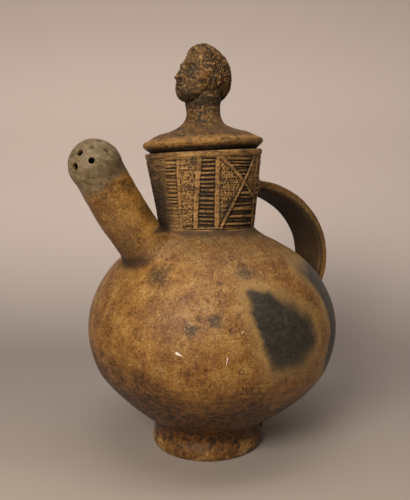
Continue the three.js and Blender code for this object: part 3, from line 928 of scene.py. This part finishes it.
def face_relief(s, u):
    """Forward relief of the face, in shares of the head's height: s is sideways, u up from its middle."""
    side = np.abs(s)
    relief = sum(out * bell(side - a, width) * bell(u - b, high) for out, a, width, b, high in FACE)
    down = np.clip((0.06 - u) / 0.27, 0, 1)
    nose = (0.02 + 0.1 * down) * ease(-0.25, -0.2, u) * ease(0.14, 0.05, u)
    nose *= bell(s, 0.038 + 0.022 * down)
    brow = 0.032 * bell(side - 0.13, 0.1) * bell(u - 0.085 + 0.5 * (side - 0.12) ** 2, 0.03)
    arch = np.clip(1 - ((side - 0.138) / 0.07) ** 2, 0, 1)
    lids = 0.017 * bell(u - 0.008 - 0.024 * arch, 0.009) + 0.012 * bell(u + 0.012 + 0.018 * arch, 0.008)
    upper_lip = 0.026 * bell(s, 0.09) * bell(u + 0.292 - 0.008 * bell(side - 0.03, 0.03), 0.02)
    return relief + nose + brow + arch * lids + upper_lip


def hair_cover(turn, rise):
    line = np.where(turn < 80, 44 - 26 * ease(25, 80, turn), 18 - 58 * ease(80, 120, turn))
    return ease(line - 4, line + 4, rise)


def curl_field(direction):
    """Rough rings and pits of short curls, scattered evenly over the head."""
    k = np.arange(CURLS)
    z = 1 - 2 * (k + 0.5) / CURLS
    t = k * CURL_TURN
    ring = np.sqrt(1 - z * z)
    centres = np.stack([ring * np.cos(t), ring * np.sin(t), z], 1)
    centres += 0.05 * (np.stack([scatter(k, axis, 31) for axis in (1, 2, 3)], 1) - 0.5)
    centres /= length(centres)[:, None]
    best = np.full(len(direction), 9.0)
    for c in centres:
        best = np.minimum(best, length(direction - c))
    return bell(best - CURL_R, 0.026) - bell(best, 0.026)


def head_points(unit):
    """Places directions (forward, sideways, up) on the head's surface, in mm about the head's middle."""
    forward, sideways, up = unit.T
    turn = np.degrees(np.abs(np.arctan2(sideways, forward)))
    rise = np.degrees(np.arcsin(np.clip(up, -1, 1)))
    level = np.cos(np.radians(rise))
    cover = hair_cover(turn, rise)
    crest = 0.032 * bell(rise - 64, 18) * bell(turn * level, 26)
    chip = 0.07 * bell(rise - 80, 8) * bell((180 - turn) * level, 13)
    beard = 0.035 * ease(-30, -52, rise) * ease(0.04, 0.3, forward)
    curl = curl_field(unit)
    hair = cover * (0.034 + 0.026 * curl) + crest - chip + beard
    low = ease(0.1, -0.8, up)
    front = ease(-0.2, 0.5, forward)
    power = 2.1 + 0.3 * front + 0.3 * low * front
    deepest = 0.43 - 0.03 * np.tanh(forward * 6)
    widest = 0.36 - 0.06 * low
    shares = (forward / deepest, sideways / widest, up / 0.48)
    skull = sum(np.abs(share) ** power for share in shares) ** (-1 / power)
    q = unit * (skull + hair)[:, None]
    squeeze = 0.74 + 0.26 * ease(-0.2, 0.26, q[:, 0])
    q[:, 2] = np.where(q[:, 2] < 0, q[:, 2] * squeeze, q[:, 2])
    q[:, 0] += face_relief(q[:, 1], q[:, 2]) * ease(0.08, 0.22, q[:, 0])
    return q * HEAD_H, cover, np.clip(-curl, 0, 1) * cover


def place_head(q):
    """From forward, sideways, up about the head's middle to the lid's frame, looking up along the spout."""
    c, s = cos(HEAD_TILT), sin(HEAD_TILT)
    x, z = -q[:, 0], q[:, 2]
    return np.stack([x * c + z * s + HEAD_SETBACK, q[:, 1], -x * s + z * c + HEAD_Z], 1)


def head_ball():
    bm = bmesh.new()
    bmesh.ops.create_uvsphere(bm, u_segments=220, v_segments=150, radius=1.0)
    obj = object_from(bm, "head")
    p = read_points(obj.data)
    rise = np.arcsin(np.clip(p[:, 2], -1, 1))
    rise = rise - 0.17 * np.sin(2 * rise)
    turn = np.arctan2(p[:, 1], p[:, 0])
    turn = turn - 0.4 * np.sin(turn)
    unit = np.stack([np.cos(rise) * np.cos(turn), np.cos(rise) * np.sin(turn), np.sin(rise)], 1)
    q, cover, pits = head_points(unit)
    # Painted shade in the pits between the curls
    store(obj.data, {"recess_shade": pits})
    q += unit * (uneven(q, (5, 0.22, 27), (2.4, 0.1, 28)) * (0.45 + 0.9 * cover))[:, None]
    write_points(obj.data, place_head(q))
    return obj


# Ears: how far out and how far back and down of the head's middle, in shares of its height
EAR_OUT = 0.345
EAR_BACK = 0.05


def ear(side):
    """An open oval ring of clay with a hollow, pressed onto the side of the head."""
    bm = bmesh.new()
    made = bmesh.ops.create_circle(bm, segments=16, radius=HEAD_H * 0.033)
    for v in made["verts"]:
        v.co = (v.co.x + HEAD_H * 0.072, 0, v.co.y)
    spin(bm, bm.verts[:] + bm.edges[:], 36)
    obj = object_from(bm, "ear")
    p = read_points(obj.data)
    flat = np.stack([p[:, 0] * 0.8, p[:, 2], p[:, 1] * 1.25], 1)
    turn = -side * radians(16)
    x = flat[:, 0] * cos(turn) - flat[:, 1] * sin(turn)
    y = flat[:, 0] * sin(turn) + flat[:, 1] * cos(turn)
    q = np.stack([-x - HEAD_H * EAR_BACK, y + side * HEAD_H * EAR_OUT, flat[:, 2] - HEAD_H * EAR_BACK], 1)
    q += uneven(q, (3, 0.1, 29))[:, None]
    write_points(obj.data, place_head(q))
    return obj


def ear_hollows():
    """A small round hollow inside each ear."""
    bm = bmesh.new()
    for side in (1, -1):
        made = bmesh.ops.create_uvsphere(bm, u_segments=16, v_segments=10, radius=HEAD_H * 0.04)["verts"]
        for v in made:
            v.co.y = v.co.y * 1.6 + side * HEAD_H * EAR_OUT
            v.co.x -= HEAD_H * EAR_BACK
            v.co.z -= HEAD_H * EAR_BACK
    return moved(object_from(bm, "hollows"), place_head)


def build_lid():
    lid = lid_plate()
    combine(lid, head_ball(), "UNION")
    for side in (1, -1):
        combine(lid, ear(side), "UNION")
    combine(lid, ear_hollows(), "DIFFERENCE")
    return lid


def mark_lid(mesh):
    """Soft fields for the lid's colours, in the lid's own frame."""
    p = read_points(mesh)
    x, y, z = p.T
    radius = np.hypot(x, y)
    # Painted shade under the lid's overhanging edge, in a ring under the jaw and in the ears. The face and
    # patches on the crown are darker clay.
    under = ease(LID_EDGE - 1.2, LID_EDGE - 4.2, z) * ease(LID_R - 12, LID_R - 8, radius)
    jaw_shade = bell(z - (HEAD_Z - HEAD_H * 0.38), 5.5)
    hollow = bell(np.hypot(x - 1, z - HEAD_Z + 3), 2.6) * (np.abs(y) > 8)
    face = ease(-6, -16, x) * ease(HEAD_Z - HEAD_H * 0.4, HEAD_Z - HEAD_H * 0.2, z)
    patches = ease(-0.1, 0.5, uneven(p, (9, 1, 33)))
    crown = ease(HEAD_Z + 4, HEAD_Z + 18, z)
    dark = 0.85 * jaw_shade + hollow + 0.75 * face * (0.4 + 0.6 * patches) + 0.5 * crown * patches + 0.85 * under
    fields = {
        "edge": ease(LID_R - 8, LID_R - 3, radius) * ease(LID_EDGE - 3.5, LID_EDGE - 0.5, z),
        # Painted shade, with the darker clay of the face and crown
        "painted_shade_and_dark_clay": np.clip(dark, 0, 1),
        "head": ease(LID_EDGE + 18, HEAD_Z - HEAD_H * 0.3, z),
    }
    store(mesh, fields)


def on_rim(p):
    """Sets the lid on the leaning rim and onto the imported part."""
    c, s = cos(atan(LEAN)), sin(atan(LEAN))
    x, z = p[:, 0], p[:, 2] + LID_GAP
    return on_part(np.stack([x * c - z * s - LEAN * NECK_H, p[:, 1], x * s + z * c + RIM_Z], 1))


# Pale nicks in the belly's surface as (start, end, half width) in mm
NICKS = [
    ((-74, -68.5, 105.6), (-69.2, -73.2, 103), 1.2),
    ((-47.2, -91.1, 103), (-48, -90.4, 96.4), 0.55),
    ((-45.6, -91.5, 116), (-46.6, -91.8, 106), 0.3),
    ((-36, -93.9, 120.4), (-38, -93.6, 118.5), 0.55),
]


# Materials
def add(tree, kind, inputs=None, **settings):
    node = tree.nodes.new(kind)
    for key, value in settings.items():
        setattr(node, key, value)
    for key, value in (inputs or {}).items():
        socket = node.inputs[key]
        if isinstance(value, bpy.types.NodeSocket):
            tree.links.new(value, socket)
        else:
            socket.default_value = value
    return node


class Shader:
    """A material's node tree with short names for what the clays are built from."""

    def __init__(self, name):
        self.material = bpy.data.materials.new(name)
        self.material.use_nodes = True
        self.tree = self.material.node_tree
        self.surface = self.tree.nodes["Principled BSDF"]
        self.place = add(self.tree, "ShaderNodeTexCoord").outputs["Object"]

    def noise(self, size_mm, detail=4.0, roughness=0.55, stretch=None):
        place = self.place
        if stretch:
            place = self.vector("MULTIPLY", place, stretch)
        inputs = {"Vector": place, "Scale": 1 / (size_mm * METRES), "Detail": detail, "Roughness": roughness}
        return add(self.tree, "ShaderNodeTexNoise", inputs).outputs["Fac"]

    def cells(self, size_mm, bent_mm=0.0):
        """Distance to the nearest of scattered middles, in shares of their spacing, bent by up to bent_mm."""
        place = self.place
        if bent_mm:
            wave = {"Vector": self.place, "Scale": 1.6 / (size_mm * METRES), "Detail": 3.0}
            wave = add(self.tree, "ShaderNodeTexNoise", wave).outputs["Color"]
            wave = self.vector("SUBTRACT", wave, (0.5, 0.5, 0.5))
            place = self.vector("MULTIPLY_ADD", wave, (4 * bent_mm * METRES,) * 3, place)
        inputs = {"Vector": place, "Scale": 1 / (size_mm * METRES)}
        return add(self.tree, "ShaderNodeTexVoronoi", inputs).outputs["Distance"]

    def vector(self, operation, *inputs, output=0):
        node = add(self.tree, "ShaderNodeVectorMath", dict(enumerate(inputs)), operation=operation)
        return node.outputs[output]

    def off_line(self, start, end):
        """Distance from a line between two places in the jug's frame. The line tapers to its end."""
        shift = Vector((FOOT_X, 0, 0))
        start = (Vector(start) + shift) * METRES
        way = (Vector(end) + shift) * METRES - start
        rel = self.vector("SUBTRACT", self.place, start)
        dot = self.vector("DOT_PRODUCT", rel, way, output="Value")
        along = self.maths("DIVIDE", dot, way.length_squared, True)
        nearest = self.vector("SCALE", way)
        nearest.node.inputs["Scale"].default_value = 1.0
        self.tree.links.new(along, nearest.node.inputs["Scale"])
        far = self.vector("LENGTH", self.vector("SUBTRACT", rel, nearest), output="Value")
        return self.times(far, self.plus(1.0, along))

    def attribute(self, name):
        return add(self.tree, "ShaderNodeAttribute", attribute_name=name).outputs["Fac"]

    def maths(self, operation, first, second=0.0, clamp=False):
        node = add(self.tree, "ShaderNodeMath", {0: first, 1: second}, operation=operation, use_clamp=clamp)
        return node.outputs[0]

    def times(self, first, second):
        return self.maths("MULTIPLY", first, second)

    def plus(self, first, second):
        return self.maths("ADD", first, second)

    def minus(self, first, second):
        return self.maths("SUBTRACT", first, second)

    def swing(self, noise, amount, middle=0.5):
        """A noise made to swing about zero."""
        return self.times(self.minus(noise, middle), amount)

    def total(self, start, *terms):
        """A start value plus each field times its amount."""
        for field, amount in terms:
            start = self.plus(start, self.times(field, amount))
        return start

    def step(self, value, low, high):
        inputs = {"Value": value, "From Min": low, "From Max": high}
        return add(self.tree, "ShaderNodeMapRange", inputs, interpolation_type="SMOOTHSTEP").outputs["Result"]

    def mix(self, share, first, second):
        """A mix of two colours, each a socket or a hex string."""
        node = add(self.tree, "ShaderNodeMix", {0: share}, data_type="RGBA")
        for index, colour in ((6, first), (7, second)):
            if isinstance(colour, str):
                node.inputs[index].default_value = linear(colour)
            else:
                self.tree.links.new(colour, node.inputs[index])
        return node.outputs[2]

    def coat(self, share, colour):
        """Lays a colour over the clay's colour so far."""
        self.colour = self.mix(share, self.colour, colour)

    def coats(self, *layers):
        """Lays colours on, each where a field goes from low to high, as (field, low, high, share, colour)."""
        for field, low, high, share, colour in layers:
            self.coat(self.times(self.step(field, low, high), share), colour)

    def height(self):
        return add(self.tree, "ShaderNodeSeparateXYZ", {0: self.place}).outputs[2]

    def finish(self, roughness, bump, distance_mm, specular):
        inputs = {"Height": bump, "Distance": distance_mm * METRES, "Strength": 1.0}
        normal = add(self.tree, "ShaderNodeBump", inputs).outputs[0]
        for name, socket in (("Base Color", self.colour), ("Roughness", roughness), ("Normal", normal)):
            self.tree.links.new(socket, self.surface.inputs[name])
        self.surface.inputs["Specular IOR Level"].default_value = specular
        return self.material


def jug_clay():
    """Burnished ochre terracotta with brown mottling, black fire clouds and grit, and painted shade in its
    corners, carved hollows and strainer holes.
    """
    s = Shader("burnished terracotta with fire clouds")
    broad = s.noise(42, 3.0)
    middle = s.noise(14, 5.0, 0.62)
    fine = s.noise(4.2, 5.0, 0.75)
    tiny = s.noise(1.5, 3.0, 0.75)
    streak = s.noise(16, 4.0, 0.65, stretch=(1, 1, 7))
    height = s.height()
    # Mottling, and burnishing strokes that run round the belly
    s.colour = s.mix(s.step(broad, 0.36, 0.66), "7d5220", "93672a")
    s.coats(
        (middle, 0.46, 0.72, 0.75, "ad8748"),
        (middle, 0.5, 0.28, 0.7, "5e3411"),
        (streak, 0.54, 0.7, 0.45, "5a3413"),
    )
    # Stains, gold by the spout and greyer clay under the neck
    stain = s.step(s.plus(s.attribute("stain"), s.swing(fine, 1.6)), 0.05, 0.75)
    s.coat(s.times(stain, 0.8), "3a2c1c")
    spout = s.attribute("spout")
    gold = s.mix(s.step(s.total(middle, (fine, 0.3)), 0.52, 0.7), "533512", "a87a34")
    blotch = s.step(s.noise(7, 4.0, 0.7), 0.55, 0.64)
    s.coat(s.times(spout, 0.72), s.mix(s.times(blotch, 0.6), gold, "3f2b12"))
    shoulder = s.times(s.times(s.step(height, 0.155, 0.183), 0.75), s.minus(1.0, spout))
    s.coats(
        (middle, 0.3, 0.55, shoulder, "5f4a2f"),
        (fine, 0.52, 0.66, 0.6, "54300f"),
        (fine, 0.46, 0.32, 0.5, "bd965c"),
        (tiny, 0.53, 0.66, 0.55, "412509"),
        (tiny, 0.47, 0.34, 0.4, "c7a268"),
    )
    # Grit: rings where it burnt darker, and specks
    cell = s.cells(9, 1.1)
    ring = s.times(s.step(cell, 0.1, 0.19), s.step(cell, 0.33, 0.22))
    ringed = s.times(ring, s.step(s.noise(17, 4.0), 0.48, 0.6))
    s.coat(s.times(ringed, 0.6), "43260c")
    s.coats((s.cells(2.6), 0.26, 0.12, s.times(s.step(s.noise(9, 3.0), 0.46, 0.56), 0.8), "2f1c0d"))
    s.coat(s.times(stain, 0.15), "33261a")
    # Darker and redder low down, reaching higher towards the photo's left
    aside = s.vector("DOT_PRODUCT", s.place, PHOTO_RIGHT, output="Value")
    ragged = s.plus(s.plus(height, s.swing(broad, 0.05)), s.swing(streak, 0.06))
    ragged = s.total(ragged, (aside, 0.13))
    low = s.times(s.times(s.step(ragged, 0.094, 0.055), 0.94), s.step(height, 0.007, 0.014))
    s.coat(low, s.mix(s.step(fine, 0.41, 0.59), "5c3813", "170d05"))
    s.coats((tiny, 0.42, 0.56, s.times(s.times(low, s.step(middle, 0.54, 0.64)), 0.55), "8f6127"))
    # Fire clouds, with a paler ring round them. The larger one's far edge fades out.
    field = s.plus(s.attribute("cloud"), s.swing(s.noise(9, 5.0, 0.66), 1.3, 0.45))
    fading = s.times(s.step(aside, 0.035, 0.06), s.step(aside, 0.082, 0.068))
    start = s.minus(-0.2, s.times(fading, 0.75))
    black = s.mix(s.step(fine, 0.38, 0.68), "22221f", "3b3831")
    s.coats((field, -1.4, -0.05, 0.42, "a98d58"), (field, start, s.total(0.42, (fading, 0.5)), 0.96, black))
    # Carved neck: mottled clay, paler between the cuts, with painted shade in the carved hollows
    neck = s.attribute("neck")
    band = s.noise(7, 4.0, 0.7, stretch=(0.35, 0.35, 4))
    s.coats(
        (fine, 0.3, 0.54, neck, "ab824a"),
        (middle, 0.48, 0.64, s.times(neck, 0.75), "4a3722"),
        (tiny, 0.5, 0.64, s.times(neck, 0.6), "3b2a18"),
        (band, 0.5, 0.64, s.times(neck, 0.75), "35251a"),
        (band, 0.47, 0.34, s.times(neck, 0.5), "cfa76e"),
        # Painted shade in the carving's cuts and pricks
        (s.attribute("recess_shade"), 0.12, 0.6, 0.95, "140c05"),
    )
    # Grey dome, filled holes, and painted shade in the corners, inside the strap, beside the neck and under
    # the spout
    edge = s.plus(s.minus(middle, 0.5), s.swing(fine, 0.8))
    grey = s.step(s.total(s.times(s.attribute("grey"), 1.25), (edge, 1.6)), 0.22, 0.68)
    ash = s.mix(s.step(fine, 0.36, 0.64), "8a7a5c", "4c402c")
    s.coat(s.times(grey, 0.9), s.mix(s.step(streak, 0.42, 0.66), ash, "6b5d44"))
    # Painted shade, from the fields worked out at each point
    painted_shade_and_dark_clay = s.attribute("painted_shade_and_dark_clay")
    s.coats(
        (s.attribute("filled"), 0.25, 0.8, 0.8, "2c2a18"),
        (s.plus(middle, painted_shade_and_dark_clay), 0.5, 1.1, s.times(painted_shade_and_dark_clay, 0.88), "24180d"),
    )
    # Painted shade: black a little way into the strainer holes. Dark brown inside the jug
    inside = s.attribute("inside")
    from_dome = s.vector("LENGTH", s.vector("SUBTRACT", s.place, Vector(on_part(SPOUT_DOME))), output="Value")
    s.coat(s.step(from_dome, (SPOUT_DOME_R - 1.8) * METRES, (SPOUT_DOME_R - 2.8) * METRES), "0c0805")
    s.coat(inside, s.mix(middle, "3b2815", "5f4226"))
    # Worn ochre on the foot
    base = s.step(s.plus(height, s.swing(middle, 0.02)), 0.018, 0.011)
    s.coat(s.times(base, 0.72), s.mix(s.step(fine, 0.36, 0.64), "7d5427", "26180c"))
    s.coats((tiny, 0.46, 0.55, s.times(s.times(base, s.step(middle, 0.5, 0.62)), 0.85), "c2965a"))
    # Pale nicks through the burnish
    for start, end, width in NICKS:
        far = s.plus(s.off_line(start, end), s.swing(tiny, width * METRES))
        s.coat(s.step(far, width * METRES * 1.15, width * METRES * 0.8), "e6dac6")
    matt = s.maths("MAXIMUM", neck, s.maths("MAXIMUM", painted_shade_and_dark_clay, inside))
    grain = s.total(s.times(fine, 0.7), (tiny, 0.45), (ringed, -0.3))
    return s.finish(s.total(0.27, (fine, 0.35), (matt, 0.35)), grain, 0.8, 0.38)


def lid_clay():
    """Fired clay darkened by soot and handling, rubbed to ochre on the edge and the high places, with painted
    shade under the edge, under the jaw, in the ears and between the curls.
    """
    s = Shader("sooty terracotta of the lid")
    broad = s.noise(15, 3.0)
    middle = s.noise(6.0, 5.0, 0.68)
    fine = s.noise(2.2, 4.0, 0.75)
    tiny = s.noise(1.1, 3.0, 0.75)
    turning = s.noise(5, 4.0, 0.65, stretch=(0.4, 0.4, 4))
    shaded_sooty = s.plus(s.attribute("painted_shade_and_dark_clay"), s.swing(middle, 1.1))
    s.colour = s.mix(s.step(broad, 0.4, 0.62), "2c2015", "553a1d")
    s.coats(
        (middle, 0.49, 0.6, 0.85, "875e32"),
        (middle, 0.28, 0.5, s.times(s.attribute("edge"), 0.85), "a87a40"),
        (turning, 0.52, 0.64, 0.75, "2a1c10"),
        (fine, 0.52, 0.61, s.total(0.4, (s.attribute("head"), 0.5)), "c39a5e"),
        (fine, 0.47, 0.36, 0.7, "170e07"),
        (tiny, 0.52, 0.64, 0.5, "2b1f12"),
        (tiny, 0.46, 0.35, 0.4, "b99a68"),
        # Painted shade in the pits between the hair's curls
        (s.attribute("recess_shade"), 0.15, 0.8, 0.8, "150f0a"),
        # Painted shade under the edge, under the jaw and in the ears, over the darker clay of the face and
        # crown
        (shaded_sooty, 0.2, 0.75, 0.82, s.mix(s.step(fine, 0.4, 0.62), "1c160f", "3d3428")),
    )
    grain = s.total(s.times(middle, 0.6), (fine, 0.7), (tiny, 0.3))
    return s.finish(s.total(0.42, (fine, 0.35)), grain, 1.1, 0.22)


def dress(obj, node, material):
    """Finishes a piece: smooth shading with sharp edges kept, its material, and its place on the part."""
    mesh = obj.data
    mesh.materials.clear()
    mesh.materials.append(material)
    mesh.shade_smooth()
    mesh.set_sharp_from_angle(angle=SHARP_EDGE)
    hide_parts(node)
    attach(obj, "root")
    return obj


jug = build_jug()
jug.name = "fired_jug"
mark_jug(jug.data)
moved(jug, on_part)
dress(jug, "jug", jug_clay())

lid = build_lid()
lid.name = "fired_lid"
mark_lid(lid.data)
moved(lid, on_rim)
dress(lid, "lid", lid_clay())


# Studio: one sweep of pale paper, soft light from the upper left, and the camera at the photo's place
VIEW = radians(35)
FORWARD = np.array([sin(VIEW), cos(VIEW), 0])
RIGHT = np.array([cos(VIEW), -sin(VIEW), 0])


def in_view(right, forward, up):
    """A place given by the camera's directions, in metres from the jug's axis."""
    return tuple(RIGHT * right + FORWARD * forward + np.array([FOOT_X * METRES, 0, up]))


# The paper: how far forward its flat part ends, the bend's radius, and its half width, in metres
PAPER_BEND = 0.25
BEND_R = 0.3
PAPER_HALF_WIDTH = 1.6


def sweep():
    angles = np.linspace(0.1, pi / 2, 14)
    profile = [(-1.2, 0.0), (PAPER_BEND, 0.0)]
    profile += [(PAPER_BEND + BEND_R * sin(a), BEND_R - BEND_R * cos(a)) for a in angles]
    profile += [(PAPER_BEND + BEND_R, 2.2)]
    bm = bmesh.new()
    left = [bm.verts.new(in_view(-PAPER_HALF_WIDTH, f, u)) for f, u in profile]
    edges = [bm.edges.new(pair) for pair in zip(left, left[1:])]
    made = bmesh.ops.extrude_edge_only(bm, edges=edges)["geom"]
    for v in made:
        if isinstance(v, bmesh.types.BMVert):
            v.co.x += RIGHT[0] * 2 * PAPER_HALF_WIDTH
            v.co.y += RIGHT[1] * 2 * PAPER_HALF_WIDTH
    obj = object_from(bm, "paper_sweep")
    obj.data.shade_smooth()
    return obj


def paper():
    """Matt warm-grey background paper, with painted light and shade: a darker band across the floor up to the
    bend of the sweep, lighter paper from the bend up the wall, and duller again higher up.
    """
    s = Shader("warm grey background paper")
    parts = add(s.tree, "ShaderNodeSeparateXYZ", {0: s.place}).outputs
    run = s.total(parts[2], (parts[0], sin(VIEW)), (parts[1], cos(VIEW)))
    # Painted shade on the floor up to the bend, painted light up the wall, and painted shade again near the
    # top
    s.colour = s.mix(s.step(run, -0.2, 0.15), "b3a79c", "9b9490")
    s.coat(s.step(run, 0.2, 0.75), "d4c8c1")
    s.coat(s.step(run, 0.88, 1.15), "b3a7a0")
    s.tree.links.new(s.colour, s.surface.inputs["Base Color"])
    s.surface.inputs["Roughness"].default_value = 0.95
    s.surface.inputs["Specular IOR Level"].default_value = 0.1
    return s.material


def soft_light(name, place, target, size, power, colour):
    light = bpy.data.lights.new(name, "AREA")
    light.shape = "RECTANGLE"
    light.size, light.size_y = size
    light.energy = power
    light.color = linear(colour)[:3]
    obj = bpy.data.objects.new(name, light)
    bpy.context.scene.collection.objects.link(obj)
    obj.location = in_view(*place)
    away = np.array(in_view(*target)) - np.array(in_view(*place))
    flat = hypot(away[0], away[1])
    obj.rotation_euler = (atan2(flat, -away[2]), 0, atan2(-away[0], away[1]))
    return obj


# The lens as measured in the photo's pixels, and how far down it looks
FOCAL_PIXELS = 580
PHOTO_HEIGHT_PIXELS = 500
SENSOR = 36
LOOK_DOWN = radians(6.6)

backdrop = sweep()
backdrop.data.materials.append(paper())
soft_light("key_softbox", (-0.42, -0.95, 0.68), (0, 0, 0.17), (0.42, 0.42), 12, "fff4e8")
soft_light("top_softbox", (-0.1, -0.2, 1.2), (0, 0, 0.15), (0.7, 0.7), 2.6, "fff6ee")
soft_light("background_softbox", (0.3, -0.2, 1.25), (0.12, 0.55, 0.42), (1.2, 0.3), 3.9, "fff6ee")

world = bpy.data.worlds.new("studio")
bpy.context.scene.world = world
world.use_nodes = True
sky = world.node_tree.nodes["Background"].inputs
sky["Color"].default_value = linear("d8cfc8")
sky["Strength"].default_value = 0.13

camera_data = bpy.data.cameras.new("photo_camera")
camera_data.lens = SENSOR * FOCAL_PIXELS / PHOTO_HEIGHT_PIXELS
camera_data.sensor_width = SENSOR
camera = bpy.data.objects.new("photo_camera", camera_data)
bpy.context.scene.collection.objects.link(camera)
camera.location = in_view(-0.0019, -0.488, 0.2225)
camera.rotation_euler = (pi / 2 - LOOK_DOWN, 0, -VIEW)
bpy.context.scene.camera = camera
bpy.context.scene.view_settings.view_transform = "Standard"
